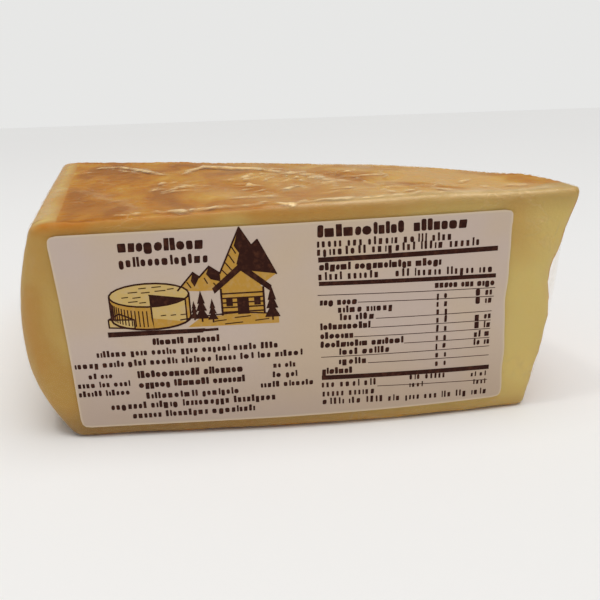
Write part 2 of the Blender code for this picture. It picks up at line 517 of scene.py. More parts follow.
@dataclass(frozen=True)
class CheeseFinish:
    """The paste and the washed rind.

    Args:
        paste_left, paste_right: the cut paste at the left and right ends, the right one lighter with painted
            light.
        paste_edge, paste_stain_and_shade, paste_light: the paste near the rind, at its foot, partly its own
        browner colour and partly painted shade, and in its paler grains.
        rind_dark, rind_main, rind_gold, rind_pale: the rind from its darkest brown patches to its paler
        patches.
        rind_stops: where those four lie on the ramp from dark to pale.
        ends: where the left and the right ends are.
        foot: where the paste begins to darken towards its foot, partly with painted shade, and where it is
            darkest.
        drift_size, stain_size, grain_size: the grain of the paste's slow drift, stains and crumb.
        blotch_size, streak_size, freckle_size: the grain of the rind's blotches, streaks and freckles.
        border_size: the grain of the wavering border between paste and rind.
        pore_sizes: the grain of the fine and the coarse relief.
        pore_depth: how deep the relief is.
    """

    paste_left: Colour = srgb(190, 148, 77)
    paste_right: Colour = srgb(217, 191, 116)
    paste_edge: Colour = srgb(192, 122, 36)
    paste_light: Colour = srgb(224, 196, 124)
    paste_stain_and_shade: Colour = srgb(143, 114, 72)
    rind_main: Colour = srgb(188, 121, 28)
    rind_dark: Colour = srgb(162, 98, 20)
    rind_gold: Colour = srgb(197, 139, 42)
    rind_pale: Colour = srgb(213, 165, 79)
    rind_stops: tuple[float, ...] = (0.32, 0.46, 0.57, 0.68)
    ends: Span = (-62 * MM, 98 * MM)
    foot: Span = (13 * MM, 0.5 * MM)
    drift_size: float = 38 * MM
    stain_size: float = 14 * MM
    grain_size: float = 1.6 * MM
    blotch_size: float = 19 * MM
    streak_size: float = 5 * MM
    freckle_size: float = 2.4 * MM
    border_size: float = 4 * MM
    pore_sizes: Span = (0.9 * MM, 3.2 * MM)
    pore_depth: float = 0.25 * MM

    def paste(self, make: Finish, across: Signal, drift: Signal) -> Signal:
        """Returns the cut paste's colour: warmer near the rind and to the left, lighter to the right with
        painted light, and darker towards its foot, partly with painted shade.

        Args:
            make: the material that is being made.
            across: 0 at the left end and 1 at the right.
            drift: slow soft noise.

        Returns:
            The colour.
        """
        tone = make.attribute("tone")
        # Lighter to the right: painted light on that end of the cut face.
        warmth = across + (drift - 0.5) * 0.7 + tone * 0.45
        paste = make.blend(warmth.clamped(), self.paste_left, self.paste_right)
        near = 1.0 - make.attribute("depth").eased(0.0, 1.0)
        stain = make.clouds(self.stain_size, 3.0, warp=0.6).eased(0.3, 0.75)
        edge = (near * 0.75 + near * stain * 0.35) * (1.0 - across * 0.75) - tone * 0.3
        paste = make.blend(edge.clamped(), paste, self.paste_edge)
        paste = make.blend(near * across * 0.4, paste, self.paste_stain_and_shade)
        # Darker towards the foot: partly the paste's own browner colour near the base rind, partly painted
        # shade.
        low = make.along("Z").eased(*self.foot)
        paste = make.blend(low * (0.88 - across * 0.73), paste, self.paste_stain_and_shade)
        grain = make.clouds(self.grain_size, 4.0)
        return make.blend(((grain - 0.35) * 0.2).clamped(), paste, self.paste_light)

    def rind(self, make: Finish, across: Signal, drift: Signal) -> Signal:
        """Returns the rind's colour: blotched orange to tan, with brown patches and fine freckles.

        Args:
            make: the material that is being made.
            across: 0 at the left end and 1 at the right.
            drift: slow soft noise.

        Returns:
            The colour.
        """
        blotched = make.stretched((1.0, 0.5, 1.0), math.radians(28))
        streaked = make.stretched((1.0, 0.32, 1.0), math.radians(-30))
        blotches = make.clouds(self.blotch_size, 4.0, blotched, 0.7)
        streaks = make.clouds(self.streak_size, 4.0, streaked, 0.5)
        level = blotches * 0.82 + streaks * 0.18 + make.attribute("tone") * 0.16
        level = level + across * 0.25 - 0.085 + (drift - 0.5) * 0.15
        stops = list(zip(self.rind_stops, (self.rind_dark, self.rind_main, self.rind_gold, self.rind_pale)))
        tint = make.signal(make.node("ShaderNodeValToRGB", {"stops": stops}, {"Fac": level}), "Color")
        freckles = make.clouds(self.freckle_size, 3.0).eased(0.52, 0.74)
        return make.blend(freckles * 0.2, tint, self.rind_dark)

    def material(self) -> bpy.types.Material:
        """Returns the cheese's material, which reads the attributes rind, depth and tone."""
        make = Finish("cheese_paste_and_rind")
        across = make.along("X").eased(*self.ends)
        drift = make.clouds(self.drift_size, 2.0)
        border = make.attribute("rind") + (make.clouds(self.border_size, 3.0) - 0.5) * 0.5
        share = border.eased(0.40, 0.60)
        colour = make.blend(share, self.paste(make, across, drift), self.rind(make, across, drift))
        fine, coarse = self.pore_sizes
        relief = make.clouds(fine, 5.0) * 0.5 + make.clouds(coarse, 3.0)
        return make.done(
            make.surface(
                Base_Color=colour,
                Roughness=0.46,
                Specular_IOR_Level=0.15,
                Subsurface_Weight=0.35,
                Subsurface_Radius=(1.0, 0.55, 0.25),
                Subsurface_Scale=2.5 * MM,
                Normal=make.bump(relief, self.pore_depth, 0.6),
            )
        )


@dataclass(frozen=True)
class FilmFinish:
    """Clear cling film: see-through, glossy, whiter along its creases and in milky patches, partly with
    painted highlights and glints.

    Args:
        gloss: how much it mirrors where it is faced squarely.
        sheen: how much more it mirrors at a slant.
        bend: the index of refraction that sets that slant.
        crinkle_highlight: how white the painted highlight along its finest lines is.
        tint: the colour of its whitened creases and painted highlights.
        ripple_size, ripple_depth: the grain and the depth of its ripples.
        line_size, loose_size: the grain of its fine lines and of the places where it is loose.
        flake_size, streak_size: the grain of the patches in its milkiness and painted glints, and of the
            streaks in its creases.
    """

    gloss: float = 0.004
    sheen: float = 0.05
    bend: float = 1.22
    crinkle_highlight: float = 0.16
    tint: Colour = srgb(252, 216, 153)
    ripple_size: float = 2.6 * MM
    ripple_depth: float = 0.35 * MM
    line_size: float = 9 * MM
    loose_size: float = 30 * MM
    flake_size: float = 9 * MM
    streak_size: float = 0.9 * MM

    def material(self) -> bpy.types.Material:
        """Returns the film's material, which reads the attributes crease_and_highlight and haze_and_glint."""
        make = Finish("clear_film")
        ripple = make.clouds(self.ripple_size, 4.0, make.stretched((1.0, 0.4, 1.0), math.radians(20)), 0.4)
        normal = make.bump(ripple, self.ripple_depth, 0.35)
        slant = make.signal(make.node("ShaderNodeFresnel", {}, {"IOR": self.bend, "Normal": normal}))
        clear = make.signal(make.node("ShaderNodeBsdfTransparent"))
        shine = make.signal(make.node("ShaderNodeBsdfGlossy", {}, {"Roughness": 0.13, "Normal": normal}))
        share = (slant * self.sheen + self.gloss).clamped()
        skin = make.signal(make.node("ShaderNodeMixShader", {}, {0: share, 1: clear, 2: shine}))
        # The whitish layer: the film's own whitening, with painted highlights and glints.
        white = make.surface(Base_Color=self.tint, Roughness=0.22, Normal=normal)
        # Fine crinkle lines where the film lies loose: painted highlight.
        creased = make.stretched((0.8, 0.5, 1.0), math.radians(-24))
        ridge = make.clouds(self.line_size, 3.0, creased, 0.9) * 2.0 - 1.0
        lines = 1.0 - ridge.size().eased(0.0, 0.05)
        loose = make.clouds(self.loose_size, 2.0).eased(0.45, 0.62)
        # Milkiness in patches: partly the film's own milkiness, partly painted sheen and glints.
        flakes = make.facets(self.flake_size, make.stretched((0.8, 0.45, 1.0), math.radians(-16)))
        haze_and_glint = make.attribute("haze_and_glint") * (flakes * 1.3 + 0.35)
        # Whitened creases: partly the film's own whitening, partly painted highlight.
        streaks = make.clouds(self.streak_size, 3.0, make.stretched((0.45, 1.0, 1.0), math.radians(18)))
        crease_and_highlight = make.attribute("crease_and_highlight") * (streaks * 1.6 + 0.2)
        milky_and_highlight = (crease_and_highlight + lines * loose * self.crinkle_highlight + haze_and_glint).clamped()
        whole = make.node("ShaderNodeMixShader", {}, {0: milky_and_highlight, 1: skin, 2: white})
        return make.done(make.signal(whole))


@dataclass(frozen=True)
class PaperFinish:
    """Off-white label paper, a little pink and uneven, with a painted highlight along its rim and painted
    shade towards its foot.

    Args:
        paper, warm: its two main colours.
        shaded: its colour between fibres, and its painted shade towards its foot.
        rim: its colour at its cut edges, a painted highlight.
        cast_size, fibre_size: the grain of its uneven colour and of its fibres.
        fibre_depth: how deep the fibres' relief is.
        foot: where its painted shade towards its foot begins, and where it is darkest.
    """

    paper: Colour = srgb(207, 187, 174)
    warm: Colour = srgb(209, 186, 160)
    shaded: Colour = srgb(177, 154, 136)
    rim: Colour = srgb(226, 206, 172)
    cast_size: float = 32 * MM
    fibre_size: float = 0.7 * MM
    fibre_depth: float = 0.04 * MM
    foot: Span = (34 * MM, 2 * MM)

    def material(self) -> bpy.types.Material:
        """Returns the paper's material, which reads the attribute rim."""
        make = Finish("label_paper")
        cast = make.clouds(self.cast_size, 2.0)
        fibres = make.clouds(self.fibre_size, 3.0, make.stretched((1.0, 1.0, 0.5)))
        colour = make.blend(cast.eased(0.35, 0.7), self.paper, self.warm)
        colour = make.blend(fibres * 0.10, colour, self.shaded)
        # Painted shade: darker towards the label's foot.
        low = make.along("Z").eased(*self.foot)
        colour = make.blend(low * 0.6, colour, self.shaded)
        # Painted highlight along the paper's cut edges.
        colour = make.blend(make.attribute("rim") * 0.7, colour, self.rim)
        relief = make.bump(fibres, self.fibre_depth, 0.5)
        return make.done(make.surface(Base_Color=colour, Roughness=0.62, Normal=relief))


@dataclass(frozen=True)
class InkFinish:
    """Printing ink that lets a little of the paper through.

    Args:
        name: the material's name.
        ink: the ink's colour.
        worn: its colour where it is thin.
        worn_size: the grain of those places.
    """

    name: str
    ink: Colour
    worn: Colour
    worn_size: float = 1.4 * MM

    def material(self) -> bpy.types.Material:
        """Returns the ink's material."""
        make = Finish(self.name)
        thin = make.clouds(self.worn_size, 4.0).eased(0.45, 0.75)
        colour = make.blend(thin * 0.5, self.ink, self.worn)
        return make.done(make.surface(Base_Color=colour, Roughness=0.6, Specular_IOR_Level=0.15))


@dataclass(frozen=True)
class FloorFinish:
    """The plain pale floor."""

    colour: Colour = (0.92, 0.915, 0.905)
    shaded: Colour = (0.84, 0.84, 0.83)
    cast_size: float = 0.6

    def material(self) -> bpy.types.Material:
        """Returns the floor's material."""
        make = Finish("pale_floor")
        cast = make.clouds(self.cast_size, 2.0)
        colour = make.blend(cast * 0.1, self.colour, self.shaded)
        return make.done(make.surface(Base_Color=colour, Roughness=0.8))


@dataclass
class Form:
    """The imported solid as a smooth, evenly divided body to shape pieces from.

    Args:
        wedge: the wedge's sizes.
        source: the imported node's object.
        join_angle: how far two triangles may be turned and still be joined to a quad.
        merge: how near two points are merged.
        slack: how far the top lies low, so that folds can stand up within the solid's height.
        edge_slack: how much of that is left at the front edge.
        slack_band: how far behind the front edge the slack begins to grow, and where it is whole.
        fine_band: how far below the height the top's finer cells begin.
    """

    wedge: Wedge
    source: bpy.types.Object
    join_angle: float = math.radians(60)
    merge: float = 0.01 * MM
    slack: float = 0.75 * MM
    edge_slack: float = 0.15
    slack_band: Span = (4 * MM, 28 * MM)
    fine_band: float = 9 * MM

    def sunk(self, points: np.ndarray, normals: np.ndarray) -> np.ndarray:
        """Returns how far each point of the top lies low, in metres."""
        behind = ramp(self.wedge.inside_front(points), *self.slack_band)
        depth = self.edge_slack + (1 - self.edge_slack) * behind
        level = ramp(normals[:, 2], 0.80, 0.99) * self.wedge.faces(Side.TOP, points, normals)
        return self.slack * depth * level

    def smooth_copy(self, name: str) -> bpy.types.Object:
        """Returns a copy of the solid with its triangles joined to quads and rounded once."""
        body = bpy.data.objects.new(name, self.source.data.copy())
        bpy.context.scene.collection.objects.link(body)
        body.hide_render = False
        pick(body)
        bpy.ops.object.mode_set(mode="EDIT")
        bpy.ops.mesh.select_all(action="SELECT")
        bpy.ops.mesh.remove_doubles(threshold=self.merge)
        bpy.ops.mesh.tris_convert_to_quads(face_threshold=self.join_angle, shape_threshold=self.join_angle)
        bpy.ops.object.mode_set(mode="OBJECT")
        finish_modifier(body, "SUBSURF", levels=1, render_levels=1)
        return body

    def even_copy(self, name: str, cell: float) -> bpy.types.Object:
        """Returns a copy in even cells, half as large on the top as elsewhere.

        Args:
            name: the new object's name.
            cell: the size of the larger cells.

        Returns:
            The new object, shaded smooth.
        """
        guide = self.smooth_copy("guide")
        body = self.smooth_copy(name)
        finish_modifier(body, "REMESH", mode="VOXEL", voxel_size=cell, use_smooth_shade=True)
        finish_modifier(body, "SMOOTH", factor=0.5, iterations=3)
        edge = self.wedge.height - self.fine_band
        edit_faces(
            body,
            lambda face: face.center.z > edge and face.normal.z > 0.12,
            lambda: bpy.ops.mesh.subdivide(number_cuts=1, smoothness=0.0),
        )
        finish_modifier(body, "SMOOTH", factor=0.5, iterations=3)
        finish_modifier(body, "SHRINKWRAP", target=guide, wrap_method="NEAREST_SURFACEPOINT")
        bpy.data.objects.remove(guide, do_unlink=True)
        pick(body)
        bpy.ops.object.shade_smooth()
        return body


@dataclass(frozen=True)
class Trace:
    """A soft stroke along a path on one side of the wedge.

    Args:
        path: its places on the side's chart, in millimetres.
        width: how wide it is, in millimetres.
        blunt: how much of it is left at its two ends.
    """

    path: Sequence[Place]
    width: float
    blunt: float = 0.25

    def share(self, chart: np.ndarray) -> np.ndarray:
        """Returns the stroke's share at each place, 1 along its middle.

        Args:
            chart: places on the side's chart, in metres.

        Returns:
            One share for each place.
        """
        places = np.array(self.path) * MM
        runs = np.diff(places, axis=0)
        lengths = np.linalg.norm(runs, axis=1)
        total, before = float(lengths.sum()), 0.0
        best = np.zeros(len(chart))
        for start, run, length in zip(places, runs, lengths):
            along = np.clip((chart - start) @ run / length**2, 0.0, 1.0)
            away = np.linalg.norm(chart - start - along[:, None] * run, axis=1)
            travelled = (before + along * length) / total
            bow = np.sqrt(np.clip(np.sin(math.pi * travelled), 0.0, 1.0))
            taper = self.blunt + (1 - self.blunt) * bow
            best = np.maximum(best, taper * np.exp(-((away / (self.width * 0.5 * MM)) ** 2)))
            before += length
        return best


@dataclass
class Cheese:
    """The cheese under the film: paste on the two cuts, rind on the rest.

    Args:
        form: the body to shape it from.
        cell: the size of its larger cells.
        under_film: how far inside the solid's surface it lies.
        headroom: the share of that depth by which its relief may rise.
        pebble_size, pebble_height: the grain and the height of the rind's pebbles.
        swell_size, swell_height: the grain and the height of the rind's swells.
        pore_size, pore_height: the grain and the depth of the paste's pores.
        stained_depth: how far in from the rind the paste is stained.
        rim_lean: how much further in the rim lies at its foot than at its top.
        milder: how much deeper the paste counts as than it lies, at the base and at the rim.
        foot_band: how far up from the base the relief begins, and where it is whole.
        back_band: how far inside the back line the rind begins to keep to flat places, and where it does.
        bare_front: strips of the top that show paste: how far behind the front line each one begins and is
            whole, and how far across.
        bare_back: the same along the back, by how far inside the back line.
        hollows: the place, size and depth of each dent that the film spans, in millimetres.
        patches: strokes of a lighter or a darker tone, by side.
    """

    form: Form
    cell: float = 1.5 * MM
    under_film: float = 0.30 * MM
    headroom: float = 0.4
    pebble_size: float = 5.0 * MM
    pebble_height: float = 0.34 * MM
    swell_size: float = 24.0 * MM
    swell_height: float = 0.7 * MM
    pore_size: float = 3.2 * MM
    pore_height: float = 0.16 * MM
    stained_depth: float = 9.0 * MM
    rim_lean: float = 13 * MM
    milder: tuple[float, float] = (3 * MM, 4 * MM)
    foot_band: Span = (0.3 * MM, 3 * MM)
    back_band: Span = (14 * MM, 5 * MM)
    bare_front: Sequence[tuple[Span, Span]] = (
        ((6.5 * MM, 3.5 * MM), (62 * MM, 96 * MM)),
        ((17 * MM, 4 * MM), (138 * MM, 158 * MM)),
    )
    bare_back: Span = (7.5 * MM, 5 * MM)
    hollows: Sequence[tuple[tuple[float, float, float], tuple[float, float, float], float]] = (
        ((156, -1, 44), (9, 10, 12), 2.0),
    )
    patches: Sequence[tuple[Side, Trace, float]] = (
        (Side.TOP, Trace(((99, 78), (103, 56)), 16, 0.6), -1.4),
        (Side.TOP, Trace(((116, 36), (121, 23), (127, 12)), 8, 0.6), -2.0),
        (Side.TOP, Trace(((51, 62), (61, 42), (72, 26)), 12, 0.5), -0.6),
        (Side.TOP, Trace(((152, 38), (154, 14)), 14, 0.8), -0.9),
        (Side.TOP, Trace(((24, 52), (34, 30), (40, 14)), 12, 0.5), -0.55),
        (Side.TOP, Trace(((-14, 132), (6, 134)), 22, 0.7), -0.6),
        (Side.TOP, Trace(((4, 66), (12, 40)), 20, 0.7), -0.45),
        (Side.TOP, Trace(((-4, 56), (3, 31)), 14, 0.8), -0.55),
        (Side.TOP, Trace(((8, 25), (26, 12)), 14, 0.8), -0.6),
        (Side.TOP, Trace(((48, 22), (72, 10)), 24, 0.7), 0.55),
        (Side.TOP, Trace(((96, 26), (106, 12)), 16, 0.7), 0.45),
        (Side.TOP, Trace(((122, 66), (132, 42), (139, 14)), 20, 0.8), 1.0),
        (Side.TOP, Trace(((62, 72), (80, 58)), 20, 0.7), 0.35),
        (Side.TOP, Trace(((20, 88), (40, 76)), 18, 0.7), 0.3),
        (Side.TOP, Trace(((1.2, 6.4), (-29.3, 155.3)), 8, 1.0), 2.0),
        (Side.TOP, Trace(((96, 1.5), (152, 1.0)), 8, 1.0), 0.6),
        (Side.FRONT, Trace(((4.5, 68), (13, 67)), 6, 0.8), -1.6),
        (Side.FRONT, Trace(((5, 69), (6, 67)), 3, 0.8), 0.8),
        (Side.FRONT, Trace(((53, 67.5), (60, 66.5)), 5, 0.7), 0.6),
        (Side.FRONT, Trace(((4, 46), (3, 38)), 7, 0.7), 0.5),
        (Side.FRONT, Trace(((4, 33), (7, 26)), 6, 0.7), 0.8),
        (Side.FRONT, Trace(((-4, 47), (-6, 38), (-4, 24)), 6, 0.7), -0.8),
        (Side.FRONT, Trace(((140, 67), (142, 55)), 12, 0.7), -0.7),
        (Side.FRONT, Trace(((62, 67), (104, 67)), 8, 0.8), -0.5),
        (Side.FRONT, Trace(((149, 42), (148, 24)), 9, 0.7), 0.9),
        (Side.FRONT, Trace(((3, 3), (60, 1), (144, 1)), 12, 0.9), -0.4),
        (Side.BACK, Trace(((20, 50), (44, 38)), 24, 0.7), 0.6),
        (Side.BACK, Trace(((70, 30), (104, 44)), 26, 0.7), -0.5),
        (Side.RIM, Trace(((-4, 36), (66, 36)), 64, 1.0), -0.7),
        (Side.RIM, Trace(((60, 40), (110, 30)), 30, 0.7), -0.2),
        (Side.RIM, Trace(((180, 50), (230, 36)), 30, 0.7), 0.4),
    )

    def rind_share(self, points: np.ndarray, normals: np.ndarray) -> np.ndarray:
        """Returns how much each point belongs to the rind, from 0 to 1.

        Args:
            points: the cheese's points.
            normals: their normals.

        Returns:
            One share for each point, 0.5 on the rind's edge.
        """
        wedge = self.form.wedge
        near_back = ramp(wedge.inside_back(points), *self.back_band)
        upright = np.abs(normals[:, 2])
        flat = ramp(upright, 0.62, 0.86) * (1 - near_back) + ramp(upright, 0.93, 0.995) * near_back
        across = wedge.plan(points)[:, 0]
        bare = ramp(wedge.inside_back(points), *self.bare_back)
        for behind, along in self.bare_front:
            bare = np.maximum(bare, ramp(wedge.inside_front(points), *behind) * ramp(across, *along))
        flat = flat * (1 - bare * ramp(normals[:, 2], 0.0, 0.2))
        return np.maximum(flat, ramp(wedge.outward(points, normals), 0.60, 0.80) * wedge.near_rim(points))

    def depth_share(self, points: np.ndarray) -> np.ndarray:
        """Returns how deep inside the rind each point lies, 1 past the stained depth."""
        wedge = self.form.wedge
        below = wedge.height - points[:, 2]
        lean = self.rim_lean * (1 - points[:, 2] / wedge.height)
        to_rim = wedge.radius - lean - wedge.reach(points)
        at_base, at_rim = self.milder
        nearest = np.minimum(np.minimum(below, points[:, 2] + at_base), to_rim + at_rim)
        return np.clip(nearest / self.stained_depth, 0.0, 1.0)

    def hollow_depth(self, points: np.ndarray) -> np.ndarray:
        """Returns how far each point is sunk by the hollows that the film spans, in metres."""
        placed = np.column_stack([self.form.wedge.plan(points), points[:, 2]]) / MM
        depth = np.zeros(len(points))
        for place, size, deep in self.hollows:
            away = np.linalg.norm((placed - np.array(place)) / np.array(size), axis=1)
            depth = np.maximum(depth, deep * MM * ramp(away, 1.0, 0.1))
        return depth

    def build(self) -> bpy.types.Object:
        """Returns the finished cheese."""
        body = self.form.even_copy("cheese", self.cell)
        points, normals = points_of(body), normals_of(body)
        rind = self.rind_share(points, normals)
        depth = self.depth_share(points)
        rise = np.zeros(len(points))
        for index, point in enumerate(points):
            spot = Vector(point)
            if rind[index] > 0.02:
                pebbles = noise.fractal(spot / self.pebble_size, 1.0, 2.1, 3)
                swell = noise.noise(spot / self.swell_size)
                rise[index] = rind[index] * (pebbles * self.pebble_height + swell * self.swell_height)
            if rind[index] < 0.98:
                pores = max(0.0, noise.noise(spot / self.pore_size))
                rise[index] -= (1 - rind[index]) * self.pore_height * pores
        rise = np.minimum(rise, self.under_film * self.headroom)
        standing = ramp(points[:, 2], *self.foot_band)
        inward = self.under_film + self.form.sunk(points, normals) + self.hollow_depth(points)
        tone = np.zeros(len(points))
        for side, trace, amount in self.patches:
            share = self.form.wedge.faces(side, points, normals)
            tone += share * trace.share(self.form.wedge.chart(side, points)) * amount
        set_points(body, points + normals * (rise * standing - inward)[:, None])
        paint(body, "rind", rind)
        paint(body, "depth", depth)
        paint(body, "tone", tone)
        dress(body, CheeseFinish().material())
        return body


@dataclass(frozen=True)
class Fold:
    """One raised fold of the film, or a flat strip of it.

    Args:
        trace: where it runs.
        height: how high it is, in millimetres.
        white: how white it looks, from 0 to 1, partly the film's whitening and partly painted highlight.
        side: the side of the wedge that it runs on.
        patchy: how unevenly white it is.
    """

    trace: Trace
    height: float
    white: float
    side: Side = Side.TOP
    patchy: float = 1.0


@dataclass(frozen=True)
class Scatter:
    """A family of small creases strewn over part of a side.

    Args:
        side: the side of the wedge.
        count: how many there are.
        across: from where to where they lie along the side's chart, in millimetres.
        up: from where to where they lie across it.
        length: their shortest and longest length.
        height: their least and greatest height.
        white: how white the dullest and the brightest look, partly painted highlight.
        lean: their mean direction, in degrees.
        spread: how far their directions stray.
        width: their least and greatest width.
    """

    side: Side
    count: int
    across: Span
    up: Span
    length: Span
    height: Span
    white: Span
    lean: float = -18.0
    spread: float = 32.0
    width: Span = (1.1, 2.2)

    def folds(self, draw: random.Random) -> list[Fold]:
        """Returns the family's creases, each with a bend in its middle."""
        made = []
        for _ in range(self.count):
            start = (draw.uniform(*self.across), draw.uniform(*self.up))
            turn = math.radians(draw.gauss(self.lean, self.spread))
            half = draw.uniform(*self.length) / 2
            middle = (start[0] + half * math.cos(turn), start[1] + half * math.sin(turn))
            turn += draw.uniform(-0.5, 0.5)
            end = (middle[0] + half * math.cos(turn), middle[1] + half * math.sin(turn))
            trace = Trace((start, middle, end), draw.uniform(*self.width))
            made.append(Fold(trace, draw.uniform(*self.height), draw.uniform(*self.white), self.side))
        return made


@dataclass(frozen=True)
class Beads:
    """The row of puckers along the front upper edge, with painted glints where they catch the light, in
    millimetres.

    Args:
        across: from where to where they lie along the edge.
        length: their shortest and longest length.
        behind: how near and how far behind the edge they lie.
        skew: how much nearer or further behind their right ends lie.
        width: their least and greatest width.
        height: their least and greatest height.
        white: how bright the painted glint on the dullest and the brightest is.
        bright: the stretches where their painted glint shines.
        dull: the share of their painted glint that is left elsewhere.
        gap: the least gap between two, and how much wider it may be.
    """

    across: Span = (22.0, 120.0)
    length: Span = (0.6, 2.6)
    behind: Span = (1.0, 4.4)
    skew: Span = (-0.6, 0.6)
    width: Span = (1.7, 2.7)
    height: Span = (0.4, 0.7)
    white: Span = (1.0, 2.0)
    bright: Sequence[Span] = ((27, 52), (68, 98))
    dull: float = 0.55
    gap: tuple[float, float] = (0.2, 4.5)

    def folds(self, draw: random.Random) -> list[Fold]:
        """Returns the puckers from left to right."""
        made = []
        across, last = self.across
        while across < last:
            length = draw.uniform(*self.length)
            near = draw.uniform(*self.behind)
            glint = 1.0 if any(first < across < end for first, end in self.bright) else self.dull
            path = ((across, near), (across + length, near + draw.uniform(*self.skew)))
            trace = Trace(path, draw.uniform(*self.width), 0.6)
            # Their white is a painted glint.
            height, white = draw.uniform(*self.height), draw.uniform(*self.white) * glint
            made.append(Fold(trace, height, white, patchy=0.4))
            across += length + self.gap[0] + self.gap[1] * draw.uniform(0.0, 1.0) ** 2
        return made


